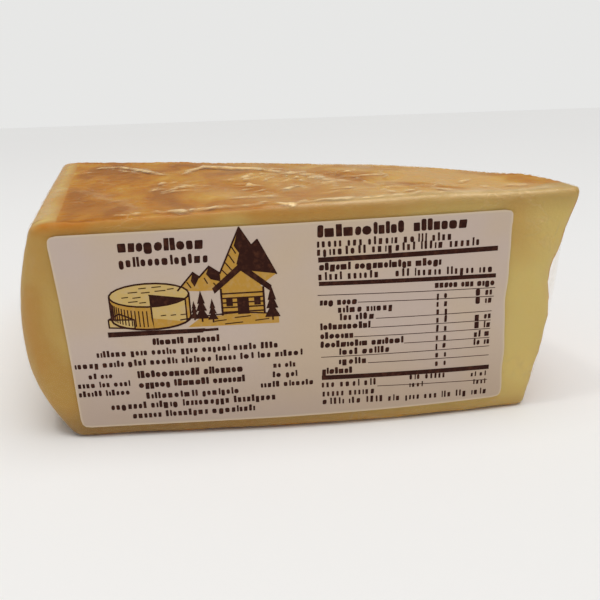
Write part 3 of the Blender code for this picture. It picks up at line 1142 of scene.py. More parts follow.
@dataclass
class Film:
    """The tight clear film: creased over the top, beaded along the front edge, taut on the sides.

    Args:
        form: the body to shape it from.
        cell: the size of its larger cells.
        seed: the seed of the strewn creases.
        noise_seed: the seed of the noise's offsets, which would otherwise follow the clock.
        grit_size, wander_size: the grain of the fine and the coarse noise that pull creases aside.
        grit: how much of the fine noise joins the coarse.
        stray: how far creases are pulled aside on the top.
        taut: the share of that on the other sides.
        top_lift, front_lift, side_lift: how far it may stand off the solid's surface.
        foot_band: how far up from the base the sides' lift begins, and where it is whole.
        haze_and_glint_bands: where the top's milkiness and painted glints begin and are whole across the
            wedge, and how white they are.
        beads: the puckers along the front upper edge.
        named_folds: the creases that are placed one by one.
        clear_spots: the places on the top without milkiness or painted glints.
        families: the strewn creases.
    """

    form: Form
    cell: float = 1.4 * MM
    seed: int = 7
    noise_seed: int = 12
    grit_size: float = 3.2 * MM
    wander_size: float = 7.5 * MM
    grit: float = 0.3
    stray: float = 2.8 * MM
    taut: float = 0.3
    top_lift: float = 0.15 * MM
    front_lift: float = 0.12 * MM
    side_lift: float = 0.5 * MM
    foot_band: Span = (4 * MM, 8 * MM)
    haze_and_glint_bands: Sequence[tuple[Span, float]] = (((15 * MM, 85 * MM), 0.19), ((75 * MM, 130 * MM), 0.08))
    beads: Beads = Beads()
    named_folds: Sequence[Fold] = (
        Fold(Trace(((-5, 128), (2, 131), (10, 119), (19, 100), (26, 92)), 3.6), 0.95, 1.1, patchy=0.7),
        Fold(Trace(((-10, 125), (-4, 132), (4, 127)), 3.0), 0.60, 0.80),
        Fold(Trace(((-2, 121), (7, 112), (13, 101)), 2.6), 0.50, 0.55),
        Fold(Trace(((9, 127), (16, 113), (22, 101)), 2.0), 0.50, 0.60),
        Fold(Trace(((-18, 112), (-6, 110)), 1.8), 0.30, 0.45),
        Fold(
            Trace(((34, 92), (37, 110), (42, 119), (54, 108), (66, 101), (72, 88), (75, 80)), 3.4),
            0.90, 1.1, patchy=0.4,
        ),
        Fold(Trace(((46, 124), (58, 114), (70, 106), (80, 99)), 2.2), 0.50, 0.65),
        Fold(Trace(((-8, 66), (8, 47), (19, 30), (26, 14), (29, 4)), 5.0), 0.35, 0.20),
        Fold(Trace(((75, 74), (80, 80), (86, 82)), 4.2), 0.60, 0.85),
        Fold(Trace(((84, 72), (91, 50), (100, 40)), 3.4), 0.50, 0.75),
        Fold(Trace(((55, 19), (62, 22), (69, 17)), 3.6), 0.40, 0.60),
        Fold(Trace(((105, 63), (114, 62)), 3.8), 0.40, 0.70),
        Fold(Trace(((116, 76), (113, 50)), 1.8), 0.30, 0.45),
        Fold(Trace(((141, 13), (149, 9)), 3.4), 0.40, 0.70),
        Fold(Trace(((92, 24), (112, 18), (134, 20)), 2.0), 0.35, 0.25),
        # Painted highlight along the front upper edge, on the top.
        Fold(Trace(((84, 1.6), (100, 2.0), (126, 1.8), (156, 2.4)), 5.0, 0.7), 0.05, 0.32, patchy=0.3),
        Fold(Trace(((144, 62.2), (153, 61.7)), 1.0, 0.4), 0.15, 0.12, Side.FRONT),
        Fold(Trace(((146, 60.4), (152, 59.6)), 0.9, 0.4), 0.12, 0.10, Side.FRONT),
        Fold(Trace(((154.6, 54), (154.2, 46), (152.6, 38)), 3.0, 0.5), 0.0, 0.16, Side.FRONT, 0.0),
        # The next two: painted highlight along the front upper edge, on the front face and on the top.
        Fold(Trace(((66, 70.2), (110, 70.4), (158, 70.4)), 2.2, 0.6), 0.0, 0.26, Side.FRONT, 0.2),
        Fold(Trace(((22, 1.5), (70, 1.2), (122, 1.4)), 1.6, 0.8), 0.15, 0.35),
        Fold(Trace(((-1.0, 8.0), (-32.0, 155.0)), 5.0, 1.0), 0.0, 0.40, patchy=0.0),
        Fold(Trace(((0, 62), (-3, 52), (-3, 44)), 1.6), 0.15, 0.10, Side.FRONT),
        Fold(Trace(((143, 20), (149, 8)), 1.6), 0.20, 0.12, Side.FRONT),
        Fold(Trace(((2, 71), (60, 71), (140, 71)), 7.0, 1.0), 0.0, 0.42, Side.BACK, 0.0),
        Fold(Trace(((30, 60), (62, 40), (96, 34)), 3.0), 0.40, 0.35, Side.BACK),
        Fold(Trace(((70, 62), (90, 50), (128, 46)), 2.6), 0.35, 0.30, Side.BACK),
        Fold(Trace(((20, 14), (58, 24), (100, 16)), 3.0), 0.35, 0.30, Side.BACK),
        Fold(Trace(((10, 8), (60, 12), (120, 7), (190, 11), (270, 6)), 3.2, 0.7), 0.35, 0.18, Side.RIM),
        Fold(Trace(((-20, 60), (120, 52)), 3.0, 0.8), 0.35, 0.40, Side.BASE),
        Fold(Trace(((10, 100), (60, 40), (110, 20)), 2.6), 0.35, 0.40, Side.BASE),
    )
    clear_spots: Sequence[Trace] = (
        Trace(((98, 76), (103, 55)), 16, 0.7),
        Trace(((117, 34), (121, 22), (126, 12)), 9, 0.7),
        Trace(((52, 62), (70, 28)), 10, 0.6),
        Trace(((152, 38), (154, 15)), 14, 0.8),
    )
    families: Sequence[Scatter] = (
        Scatter(Side.TOP, 16, (26, 40), (38, 66), (4, 12), (0.25, 0.55), (0.3, 0.85), 65, 35, (1.2, 2.4)),
        Scatter(Side.TOP, 34, (54, 104), (24, 84), (1.5, 6), (0.25, 0.6), (0.15, 0.9), -10, 40, (1.5, 3)),
        Scatter(Side.TOP, 34, (54, 104), (20, 76), (4, 12), (0.25, 0.6), (0.15, 0.9), 60, 35, (1.2, 2.4)),
        Scatter(Side.TOP, 26, (100, 140), (8, 30), (1.5, 5), (0.2, 0.45), (0.3, 0.9), -10, 40, (1.5, 3)),
        Scatter(Side.TOP, 60, (-25, 150), (6, 135), (6, 26), (0.10, 0.35), (0.0, 0.16)),
        Scatter(Side.BACK, 26, (10, 150), (8, 66), (8, 34), (0.10, 0.35), (0.05, 0.30), 20.0, 35.0),
        Scatter(Side.RIM, 46, (4, 280), (8, 62), (8, 40), (0.15, 0.45), (0.05, 0.45), 70.0, 30.0),
        Scatter(Side.BASE, 40, (-20, 140), (8, 130), (8, 34), (0.10, 0.35), (0.05, 0.40), 40.0, 60.0),
    )

    def build(self) -> bpy.types.Object:
        """Returns the finished film."""
        wedge = self.form.wedge
        draw = random.Random(self.seed)
        body = self.form.even_copy("film", self.cell)
        points, normals = points_of(body), normals_of(body)
        noise.seed_set(self.noise_seed)
        swirl = np.array([noise.noise_vector(Vector(point) / self.grit_size) for point in points])
        wander = np.array([noise.noise_vector(Vector(point) / self.wander_size) for point in points])
        uneven = np.clip(0.85 + 1.1 * swirl[:, 2], 0.0, 1.4)
        folds = list(self.named_folds)
        for family in (self.beads, *self.families):
            folds += family.folds(draw)
        rise, white = -self.form.sunk(points, normals), np.zeros(len(points))
        for side in Side:
            belongs = wedge.faces(side, points, normals)
            near = belongs > 0.0
            stray = self.stray if side is Side.TOP else self.stray * self.taut
            chart = wedge.chart(side, points)[near] + (wander + self.grit * swirl)[near][:, :2] * stray
            for fold in folds:
                if fold.side is side:
                    share = fold.trace.share(chart) * belongs[near]
                    rise[near] += share * fold.height * MM
                    patches = 1.0 + fold.patchy * (uneven[near] - 1.0)
                    white[near] = np.maximum(white[near], share * fold.white * patches)
        standing = ramp(points[:, 2], *self.foot_band)
        most = np.where(normals[:, 2] > 0.3, self.top_lift, self.side_lift * standing)
        most = np.where(normals[:, 1] < -0.7, self.front_lift, most)
        across = wedge.plan(points)[:, 0]
        haze_and_glint_share = sum(ramp(across, *band) * amount for band, amount in self.haze_and_glint_bands)
        top = wedge.chart(Side.TOP, points)
        haze_and_glint_share *= 1.0 - np.max([spot.share(top) for spot in self.clear_spots], axis=0)
        # Painted onto the film: its milkiness with painted sheen and glints, and its whitened creases with
        # painted highlights.
        paint(body, "haze_and_glint", haze_and_glint_share * wedge.faces(Side.TOP, points, normals))
        paint(body, "crease_and_highlight", np.clip(white, 0.0, 1.0))
        set_points(body, points + normals * np.minimum(rise, most)[:, None])
        dress(body, FilmFinish().material())
        return body


@dataclass
class LabelSheet:
    """The label's own flat plane: where it lies on the front face, and how a flat piece is laid onto it.

    Args:
        wedge: the wedge's sizes.
        wall: the smooth body that the label is stuck on.
        left, base: where its lower left corner lies along the front face and above the base.
        width, height: its size as cut, along its foot and up its middle.
        tilt: how far it is turned on the face.
        corner: the radius of its corners.
        spread: how much further out its left and right sides lie at its top.
        spread_from: how far up they begin to spread.
        hang: how far its foot hangs down at its left and right ends.
        in_front: how far in front of the face it is held before it is laid on.
    """

    wedge: Wedge
    wall: bpy.types.Object
    left: float = 5.6 * MM
    base: float = 4.1 * MM
    width: float = 133.5 * MM
    height: float = 60.3 * MM
    tilt: float = math.radians(0.7)
    corner: float = 2.5 * MM
    spread: Span = (1.45 * MM, 1.0 * MM)
    spread_from: float = 17 * MM
    hang: Span = (0.25 * MM, 0.75 * MM)
    in_front: float = 30 * MM

    def lay(self, piece: bpy.types.Object, stand_off: float) -> None:
        """Lays a flat piece, drawn in the label's own plane, onto the front face.

        Args:
            piece: the piece, its points' X across the label and Z up it.
            stand_off: how far off the wall it comes to lie.
        """
        points = points_of(piece)
        turned = points.copy()
        turned[:, 0] = self.left + points[:, 0] * math.cos(self.tilt) - points[:, 2] * math.sin(self.tilt)
        turned[:, 2] = self.base + points[:, 0] * math.sin(self.tilt) + points[:, 2] * math.cos(self.tilt)
        turned[:, 0] += self.wedge.apex[0]
        turned[:, 1] = self.wedge.apex[1] - self.in_front
        set_points(piece, turned)
        finish_modifier(
            piece, "SHRINKWRAP", target=self.wall, wrap_method="PROJECT", use_project_y=True,
            use_negative_direction=False, use_positive_direction=True,
        )
        points = points_of(piece)
        points[:, 1] -= stand_off
        set_points(piece, points)


@dataclass
class Paper:
    """The label's paper.

    Args:
        sheet: the plane that it lies on.
        cell: the size of its cells.
        stand_off: how far off the wall its back lies.
        thickness: how thick it is.
        border: how far in from its sides its cells are drawn closer together.
        highlight_rim: how wide its rim of painted highlight is.
        waves: how many waves its right edge has, and how far each set of them sways.
        wave_reach: how far in from the right edge they reach.
        crisp: the angle above which its edges stay sharp.
    """

    sheet: LabelSheet
    cell: float = 1.5 * MM
    stand_off: float = 0.30 * MM
    thickness: float = 0.17 * MM
    border: float = 3.0 * MM
    highlight_rim: float = 0.8 * MM
    waves: Sequence[tuple[float, float]] = ((1.0, 0.30 * MM), (2.6, 0.22 * MM), (5.3, 0.10 * MM))
    wave_reach: float = 14 * MM
    crisp: float = math.radians(40)

    def round_corners(self, points: np.ndarray) -> np.ndarray:
        """Returns flat points with the sheet's corners drawn in and its right edge uneven."""
        width, height, corner = self.sheet.width, self.sheet.height, self.sheet.corner
        inner = np.clip(points[:, [0, 2]], corner, (width - corner, height - corner))
        square = (points[:, [0, 2]] - inner) / corner
        circle = square * np.sqrt(1.0 - square[:, ::-1] ** 2 / 2)
        rounded = points.copy()
        rounded[:, [0, 2]] = inner + circle * corner
        for count, sway in self.waves:
            turn = rounded[:, 2] / height * math.tau * count
            near_side = ramp(rounded[:, 0], width - self.wave_reach, width)
            rounded[:, 0] += np.sin(turn + count) * sway * near_side
        return rounded

    def crowd(self, places: np.ndarray, length: float) -> np.ndarray:
        """Returns places along one side with those near its two ends drawn closer to the ends."""
        from_end = np.minimum(places, length - places)
        near = np.where(from_end < self.border, from_end**2 / self.border, from_end)
        return np.where(places < length / 2, near, length - near)

    def spread_out(self, points: np.ndarray) -> np.ndarray:
        """Returns flat points with the sheet's sides spread towards its top and its foot hanging."""
        sheet = self.sheet
        to_right, to_top = points[:, 0] / sheet.width, points[:, 2] / sheet.height
        above = (points[:, 2] - sheet.spread_from) / (sheet.height - sheet.spread_from)
        widen = np.clip(above, 0.0, None) ** 2
        placed = points.copy()
        placed[:, 0] += (sheet.spread[1] * to_right - sheet.spread[0] * (1 - to_right)) * widen
        placed[:, 2] -= (sheet.hang[0] + (sheet.hang[1] - sheet.hang[0]) * to_right) * (1 - to_top)
        return placed

    def build(self) -> bpy.types.Object:
        """Returns the finished paper."""
        width, height = self.sheet.width, self.sheet.height
        bpy.ops.object.select_all(action="DESELECT")
        bpy.ops.mesh.primitive_grid_add(
            x_subdivisions=round(width / self.cell), y_subdivisions=round(height / self.cell), size=1.0,
            rotation=(math.pi / 2, 0, 0),
        )
        paper = bpy.context.active_object
        paper.name = "paper"
        bpy.ops.object.transform_apply(location=True, rotation=True, scale=True)
        points = points_of(paper)
        points[:, 0] = self.crowd((points[:, 0] + 0.5) * width, width)
        points[:, 2] = self.crowd((points[:, 2] + 0.5) * height, height)
        from_side = np.minimum(points[:, 0], width - points[:, 0])
        from_end = np.minimum(points[:, 2], height - points[:, 2])
        # The rim attribute marks the paper's painted highlight along its edges.
        paint(paper, "rim", 1 - np.clip(np.minimum(from_side, from_end) / self.highlight_rim, 0.0, 1.0))
        set_points(paper, self.spread_out(self.round_corners(points)))
        self.sheet.lay(paper, self.stand_off)
        finish_modifier(paper, "SOLIDIFY", thickness=self.thickness, offset=1.0)
        pick(paper)
        bpy.ops.object.shade_smooth_by_angle(angle=self.crisp)
        dress(paper, PaperFinish().material())
        return paper


@dataclass(frozen=True)
class Line:
    """One printed line: words shown as rows of small plain marks.

    Args:
        left: where it starts across the label, in millimetres.
        right: where it ends.
        base: its height up the label at its left end.
        tall: how tall its marks are.
        weight: how heavy it is.
        words: how many words it has.
        rise: how much higher its right end is.
    """

    left: float
    right: float
    base: float
    tall: float
    weight: Weight = Weight.LIGHT
    words: int = 1
    rise: float = 0.0


@dataclass(frozen=True)
class Rule:
    """One printed rule.

    Args:
        left: where it starts across the label, in millimetres.
        right: where it ends.
        low: its lower edge's height at its left end.
        thick: how thick it is.
        rise: how much higher its right end is.
    """

    left: float
    right: float
    low: float
    thick: float
    rise: float = 0.0


LEFT_LINES = (
    Line(18.2, 42.8, 54.6, 3.6, Weight.BLACK, 1, -0.2),
    Line(18.0, 44.0, 50.2, 2.9, Weight.BOLD, 1, 0.2),
    Line(24.9, 45.0, 26.1, 2.2, Weight.BLACK, 2, 0.2),
    Line(7.9, 62.6, 23.0, 2.1, Weight.BOLD, 7, 0.1),
    Line(0.9, 69.8, 19.6, 2.1, Weight.BOLD, 9, 0.6),
    Line(4.5, 12.0, 16.1, 1.9, Weight.BOLD, 2),
    Line(0.9, 16.9, 13.2, 2.0, Weight.BOLD, 3),
    Line(0.7, 16.6, 10.3, 2.0, Weight.BOLD, 2),
    Line(19.2, 51.4, 15.6, 2.4, Weight.BLACK, 2, 0.3),
    Line(19.2, 51.7, 12.3, 2.3, Weight.BLACK, 3, 0.3),
    Line(21.0, 49.9, 8.5, 2.2, Weight.BOLD, 2, 0.2),
    Line(9.8, 60.9, 5.3, 2.3, Weight.BOLD, 4, 0.5),
    Line(16.0, 54.2, 2.0, 2.2, Weight.BOLD, 3, 0.5),
    Line(60.4, 67.5, 16.5, 1.9, Weight.BOLD, 2),
    Line(60.0, 67.9, 13.3, 2.0, Weight.BOLD, 2),
    Line(56.2, 72.8, 10.1, 2.0, Weight.BOLD, 2),
)

RIGHT_LINES = (
    Line(75.4, 101.4, 55.7, 3.6, Weight.BLACK, 1, 0.0),
    Line(103.9, 120.4, 55.8, 3.5, Weight.BLACK, 1, 0.0),
    Line(75.2, 116.3, 52.8, 2.5, Weight.LIGHT, 5, -0.3),
    Line(75.1, 124.9, 50.4, 2.5, Weight.LIGHT, 4, -0.1),
    Line(75.5, 112.5, 46.0, 2.3, Weight.BLACK, 3, -0.8),
    Line(75.2, 94.1, 43.1, 2.4, Weight.LIGHT, 2, -0.3),
    Line(98.3, 129.6, 42.7, 2.4, Weight.LIGHT, 4, -1.1),
    Line(110.4, 129.6, 38.2, 2.2, Weight.BLACK, 3, -0.8),
)

# The table's rows: left, right, base, weight, words, and whether the two columns hold a figure
TABLE_ROWS = (
    (75.3, 86.7, 35.4, Weight.BLACK, 2, True, True),
    (80.7, 97.6, 32.8, Weight.BOLD, 2, True, True),
    (81.2, 92.1, 30.4, Weight.BOLD, 2, True, False),
    (75.2, 90.6, 27.7, Weight.BLACK, 1, True, True),
    (75.1, 85.4, 24.8, Weight.BLACK, 1, True, True),
    (75.0, 100.9, 21.9, Weight.BLACK, 2, True, True),
    (80.7, 96.7, 19.2, Weight.BOLD, 2, True, True),
    (80.5, 89.6, 16.1, Weight.BOLD, 1, True, False),
    (75.2, 84.8, 13.2, Weight.BLACK, 1, True, False),
)

RULES = (
    Rule(75.4, 130.0, 48.4, 1.5, -0.2),
    Rule(75.3, 129.7, 41.4, 1.3, -1.5),
    Rule(75.1, 129.0, 11.3, 1.5, -1.7),
    Rule(74.8, 129.6, 38.5, 0.22, -1.9),
    Rule(86.7, 129.3, 35.6, 0.22, -1.7),
    Rule(92.1, 128.8, 30.1, 0.22, -0.9),
    Rule(90.6, 128.7, 27.3, 0.22, -1.1),
    Rule(85.4, 128.7, 24.7, 0.22, -1.3),
    Rule(100.9, 128.6, 21.3, 0.22, -0.9),
    Rule(75.1, 128.7, 18.8, 0.22, -1.3),
    Rule(89.6, 128.7, 15.8, 0.22, -1.4),
    Rule(92.5, 128.7, 7.6, 0.22, -1.8),
)

FOOT_LINES = (
    Line(75.0, 92.7, 8.7, 2.3, Weight.LIGHT, 3, -0.5),
    Line(102.8, 114.9, 8.8, 2.3, Weight.LIGHT, 2, -0.5),
    Line(123.0, 128.6, 7.6, 1.7, Weight.LIGHT, 2, -0.2),
    Line(75.1, 92.4, 5.6, 2.3, Weight.LIGHT, 2, -0.4),
    Line(102.8, 107.6, 6.2, 1.9, Weight.LIGHT, 1, -0.2),
    Line(124.0, 128.6, 4.8, 1.7, Weight.LIGHT, 1, -0.2),
    Line(75.0, 129.4, 2.9, 2.2, Weight.LIGHT, 9, -2.0),
)


@dataclass(frozen=True)
class MarkStyle:
    """How a printed line is filled with words of small plain marks.

    Args:
        low: a low mark's height, as a share of a tall one's.
        space: the space between words, as a share of a low mark's height.
        pitch: the mean step from mark to mark, as a share of a low mark's height.
        word_spread: how much shorter and longer than the mean a word may be.
        steps: the steps that a mark may take, as shares of the mean.
        narrow: the step below which a mark is narrow.
        tall_chance: how often a narrow mark is tall.
        drop_chance: how often a wide mark hangs below the line.
        drop: how far it hangs, as a share of a low mark's height.
        rounds: how round its corners may be.
        slants: how far it may lean, as shares of its width.
    """

    low: float = 0.72
    space: float = 0.62
    pitch: float = 0.92
    word_spread: Span = (0.6, 1.4)
    steps: Sequence[float] = (0.55, 0.8, 1.0, 1.0, 1.25)
    narrow: float = 0.9
    tall_chance: float = 0.6
    drop_chance: float = 0.12
    drop: float = 0.28
    rounds: Sequence[float] = (0.25, 0.6, 0.9)
    slants: Sequence[float] = (0, 0, 0.12)


class Stencil:
    """Collects flat printed shapes in the label's plane, in millimetres, and makes one piece of them."""

    thickness = 0.012 * MM
    longest = 3.0
    style = MarkStyle()

    def __init__(self, name: str, refine: int = 0) -> None:
        """Starts an empty stencil.

        Args:
            name: the piece's name.
            refine: how many times its faces are halved, for shapes too large to lie flat on the wall.
        """
        self.name = name
        self.refine = refine
        self.shapes: list[list[Place]] = []

    def shape(self, outline: Iterable[Place]) -> None:
        """Adds a flat shape by its outline, anticlockwise."""
        self.shapes.append(list(outline))

    def mark(self, left: float, low: float, wide: float, tall: float, round_by: float, slant: float) -> None:
        """Adds one small upright mark.

        Args:
            left: its left side.
            low: its lower side.
            wide: its width.
            tall: its height.
            round_by: how much of its half width each corner loses, up to 1.
            slant: how far its top leans to the right.
        """
        trim = min(wide, tall) * 0.5 * round_by
        small = trim * 0.3
        corners = (
            (trim, 0), (wide - trim, 0), (wide - small, small), (wide, trim), (wide, tall - trim),
            (wide - small, tall - small), (wide - trim, tall), (trim, tall), (small, tall - small),
            (0, tall - trim), (0, trim), (small, small),
        )
        self.shape([(left + x + slant * z / tall, low + z) for x, z in corners])

    def rule(self, rule: Rule) -> None:
        """Adds a rule as a row of joined cells, so that it can follow the wall."""
        cells = max(1, math.ceil((rule.right - rule.left) / self.longest))
        step, climb = (rule.right - rule.left) / cells, rule.rise / cells
        for cell in range(cells):
            left, low = rule.left + step * cell, rule.low + climb * cell
            right, after = left + step, low + climb
            self.shape([(left, low), (right, after), (right, after + rule.thick), (left, low + rule.thick)])

    def stroke(self, places: Sequence[Place], wide: float) -> None:
        """Adds a drawn line of even width through these places."""
        for (x0, z0), (x1, z1) in zip(places, places[1:]):
            length = math.hypot(x1 - x0, z1 - z0) or 1.0
            aside_x, aside_z = -(z1 - z0) / length * wide / 2, (x1 - x0) / length * wide / 2
            on_x, on_z = (x1 - x0) / length * wide * 0.3, (z1 - z0) / length * wide * 0.3
            self.shape(
                [
                    (x0 - on_x - aside_x, z0 - on_z - aside_z), (x1 + on_x - aside_x, z1 + on_z - aside_z),
                    (x1 + on_x + aside_x, z1 + on_z + aside_z), (x0 - on_x + aside_x, z0 - on_z + aside_z),
                ]
            )

    def words(self, line: Line, draw: random.Random) -> None:
        """Adds a printed line as words of small plain marks of uneven widths and heights.

        Args:
            line: the line.
            draw: the source of the marks' sizes.
        """
        style = self.style
        low_height = line.tall * style.low
        space = low_height * style.space
        whole = line.right - line.left - space * (line.words - 1)
        weights = [draw.uniform(*style.word_spread) for _ in range(line.words)]
        start = line.left
        for weight in weights:
            span = whole * weight / sum(weights)
            count = max(1, round(span / (low_height * style.pitch)))
            steps = [draw.choice(style.steps) for _ in range(count)]
            scale = span / sum(steps)
            for step in steps:
                wide = step * scale * line.weight.value
                narrow = step < style.narrow
                tall = line.tall if narrow and draw.random() < style.tall_chance else low_height
                drop = low_height * style.drop if not narrow and draw.random() < style.drop_chance else 0.0
                base = line.base + line.rise * (start - line.left) / (line.right - line.left) - drop
                round_by, slant = draw.choice(style.rounds), draw.choice(style.slants) * wide
                self.mark(start, base, wide, tall + drop, round_by, slant)
                start += step * scale
            start += space

    def build(self, sheet: LabelSheet, stand_off: float, material: bpy.types.Material) -> bpy.types.Object:
        """Makes the piece and lays it on the label.

        Args:
            sheet: the label's plane.
            stand_off: how far off the wall the ink lies.
            material: the ink.

        Returns:
            The printed piece.
        """
        points, faces = [], []
        for shape in self.shapes:
            faces.append(range(len(points), len(points) + len(shape)))
            points += [(x * MM, 0.0, z * MM) for x, z in shape]
        mesh = bpy.data.meshes.new(self.name)
        mesh.from_pydata(points, [], [list(face) for face in faces])
        piece = bpy.data.objects.new(self.name, mesh)
        bpy.context.scene.collection.objects.link(piece)
        pick(piece)
        finish_modifier(piece, "TRIANGULATE", quad_method="BEAUTY", ngon_method="BEAUTY")
        if self.refine:
            halves = {"levels": self.refine, "render_levels": self.refine}
            finish_modifier(piece, "SUBSURF", subdivision_type="SIMPLE", **halves)
        sheet.lay(piece, stand_off)
        finish_modifier(piece, "SOLIDIFY", thickness=self.thickness, offset=1.0)
        dress(piece, material)
        return piece


def oval(place: Place, wide: float, tall: float, first: float = 0, last: float = 360) -> list[Place]:
    """Returns points along part of an oval.

    Args:
        place: its middle.
        wide: its half width.
        tall: its half height.
        first: where the part starts, in degrees.
        last: where it ends.

    Returns:
        The points, in order.
    """
    turns = np.radians(np.linspace(first, last, max(3, round(abs(last - first) / 15))))
    return [(place[0] + wide * math.cos(turn), place[1] + tall * math.sin(turn)) for turn in turns]


@dataclass
class PastureMotif:
    """A plain printed picture: a cut wheel of cheese and a slice on a board, a hut and firs below peaks.

    Args:
        wheel: the middle of the wheel's upper face, in millimetres on the label.
        wheel_wide, wheel_tall, wheel_deep: that face's half width and half height, and the wheel's depth.
        peaks: the mountains' outline.
        flanks: their shaded sides.
        hatches: short lines on their sides.
        firs: each fir's place across, its foot and its height.
        planks: the heights of the hut's logs.
    """

    wheel: Place = (25.5, 41.6)
    wheel_wide: float = 11.6
    wheel_tall: float = 3.5
    wheel_deep: float = 7.0
    peaks: Sequence[Place] = (
        (34, 42.5), (38.8, 47.6), (40.6, 46.2), (43.6, 49.2), (46.6, 47.0),
        (53, 60.0), (56.2, 54.6), (58.0, 56.2), (63, 46),
    )
    flanks: Sequence[Sequence[Place]] = (
        (
            (53, 60.0), (51.2, 54.8), (52.6, 52.6), (51.6, 49.4), (54.6, 47.4),
            (63, 46), (58.0, 56.2), (56.2, 54.6),
        ),
        ((43.6, 49.2), (42.6, 47.0), (43.8, 45.4), (46.6, 44.6), (46.6, 47.0)),
        ((38.8, 47.6), (38.0, 45.2), (39.0, 43.4), (40.6, 46.2)),
    )
    hatches: Sequence[Sequence[Place]] = (
        ((49.6, 52.2), (51.0, 49.8)), ((48.4, 50.0), (50.2, 47.6)), ((50.6, 54.4), (51.6, 52.6)),
        ((47.4, 47.8), (49.0, 46.0)), ((42.0, 45.8), (42.8, 44.2)), ((36.9, 44.8), (37.9, 43.2)),
        ((46.0, 45.4), (47.4, 43.6)), ((44.6, 44.2), (45.6, 42.8)), ((52.2, 50.8), (53.2, 49.2)),
        ((35.8, 43.4), (36.6, 42.4)),
    )
    firs: Sequence[tuple[float, float, float]] = (
        (40.4, 33.6, 8.6), (43.6, 33.2, 6.4), (61.2, 33.0, 9.6), (38.2, 34.2, 5.0),
    )
    planks: Sequence[float] = (35.2, 36.6, 38.0, 39.4, 40.8)

    def draw_land(self, brown: Stencil, ochre: Stencil) -> None:
        """Draws the peaks and the meadow.

        Args:
            brown: the dark ink.
            ochre: the yellow ink.
        """
        ochre.shape([*self.peaks, (57, 42), (40, 42)])
        for flank in self.flanks:
            brown.shape(flank)
        for hatch in self.hatches:
            brown.stroke(hatch, 0.34)
        brown.stroke(self.peaks, 0.5)
        ochre.shape([(36, 31.2), (63, 31.0), (63, 33.8), (52, 34.6), (40, 34.0)])
        brown.stroke([(34, 33.6), (41, 34.4), (52, 35.0), (63, 33.9)], 0.4)
        for left, low, long in ((44, 32.6, 3.4), (50, 33.4, 4.6), (56, 32.2, 4.0), (47, 31.6, 5.2)):
            brown.stroke([(left, low), (left + long, low + 0.3)], 0.3)

    def draw_hut(self, brown: Stencil, ochre: Stencil) -> None:
        """Draws the log hut and the firs beside it.

        Args:
            brown: the dark ink.
            ochre: the yellow ink.
        """
        ochre.shape([(46.4, 34.4), (59.0, 34.4), (59.0, 42.0), (52.7, 47.0), (46.4, 42.0)])
        brown.shape([(44.6, 41.0), (52.7, 47.4), (52.7, 49.8), (44.0, 42.6)])
        brown.shape([(52.7, 47.4), (60.8, 41.0), (61.4, 42.6), (52.7, 49.8)])
        for height in self.planks:
            brown.stroke([(46.6, height), (58.8, height)], 0.42)
        brown.stroke([(46.5, 34.4), (46.5, 42.2)], 0.6)
        brown.stroke([(58.9, 34.4), (58.9, 42.2)], 0.6)
        brown.shape([(51.0, 34.4), (54.4, 34.4), (54.4, 39.6), (51.0, 39.6)])
        for left in (47.8, 56.0):
            brown.shape([(left, 37.0), (left + 1.9, 37.0), (left + 1.9, 39.4), (left, 39.4)])
        for across, foot, tall in self.firs:
            brown.stroke([(across, foot - 0.8), (across, foot + tall * 0.3)], 0.5)
            for tier, share in ((0.0, 1.0), (0.28, 0.78), (0.54, 0.55)):
                half, low = tall * 0.24 * share, foot + tall * tier
                brown.shape([(across - half, low), (across + half, low), (across, low + tall * 0.46)])

    def draw_cheese(self, brown: Stencil, ochre: Stencil, pale: Stencil) -> None:
        """Draws the wheel with its cut, the slice and the board.

        Args:
            brown: the dark ink.
            ochre: the yellow ink.
            pale: the light ink of the cut paste.
        """
        across, high = self.wheel
        wide, tall, low = self.wheel_wide, self.wheel_tall, self.wheel[1] - self.wheel_deep
        ochre.shape([*oval((across, low), wide, tall, 180, 360), *oval((across, high), wide, tall, 0, 180)])
        pale.shape(oval((across, high), wide, tall)[:-1])
        brown.stroke(oval((across, high), wide, tall), 0.5)
        brown.stroke(oval((across, low), wide, tall, 180, 360), 0.6)
        brown.stroke([(across - wide, low), (across - wide, high)], 0.5)
        brown.stroke([(across + wide, low), (across + wide, high)], 0.5)
        cut_left, cut_right = (across + 0.5, high - tall), (across + wide - 1.2, high - 1.6)
        drop = self.wheel_deep
        brown.shape([self.wheel, cut_left, (cut_left[0], cut_left[1] - drop), (across, high - drop)])
        brown.shape([self.wheel, cut_left, (across + 5.2, high - 3.4), (across + 8.2, high - 2.6), cut_right])
        pale.shape([(across, high - drop), (cut_right[0], cut_right[1] - drop), cut_right, self.wheel])
        brown.stroke([self.wheel, cut_right, (cut_right[0], cut_right[1] - drop)], 0.45)
        for turn in range(186, 268, 6):
            x, z = oval(self.wheel, wide - 0.2, tall, turn, turn)[0]
            brown.stroke([(x, z - 1.4), (x, z - drop + 0.9)], 0.34)
        for x, z, long in (
            (19.6, 42.6, 2.6), (22.8, 43.7, 2.0), (17.6, 41.2, 1.8), (26.6, 43.9, 2.6), (31.0, 43.1, 1.8),
            (20.8, 41.0, 2.2), (23.4, 42.4, 2.4), (27.4, 42.7, 3.0), (19.4, 39.8, 2.6), (22.6, 39.4, 1.8),
        ):
            brown.stroke([(x, z), (x + long, z + 0.12)], 0.3)
        for share in (0.25, 0.5, 0.75):
            x = across + wide * share
            brown.stroke([(x, high - drop + 0.6), (x + 1.4, high - drop + 0.7)], 0.3)
        pale.shape([(12.9, 32.3), (20.4, 31.7), (20.4, 34.4), (12.9, 34.7)])
        ochre.shape([(12.9, 34.7), (20.4, 34.4), (16.2, 36.4)])
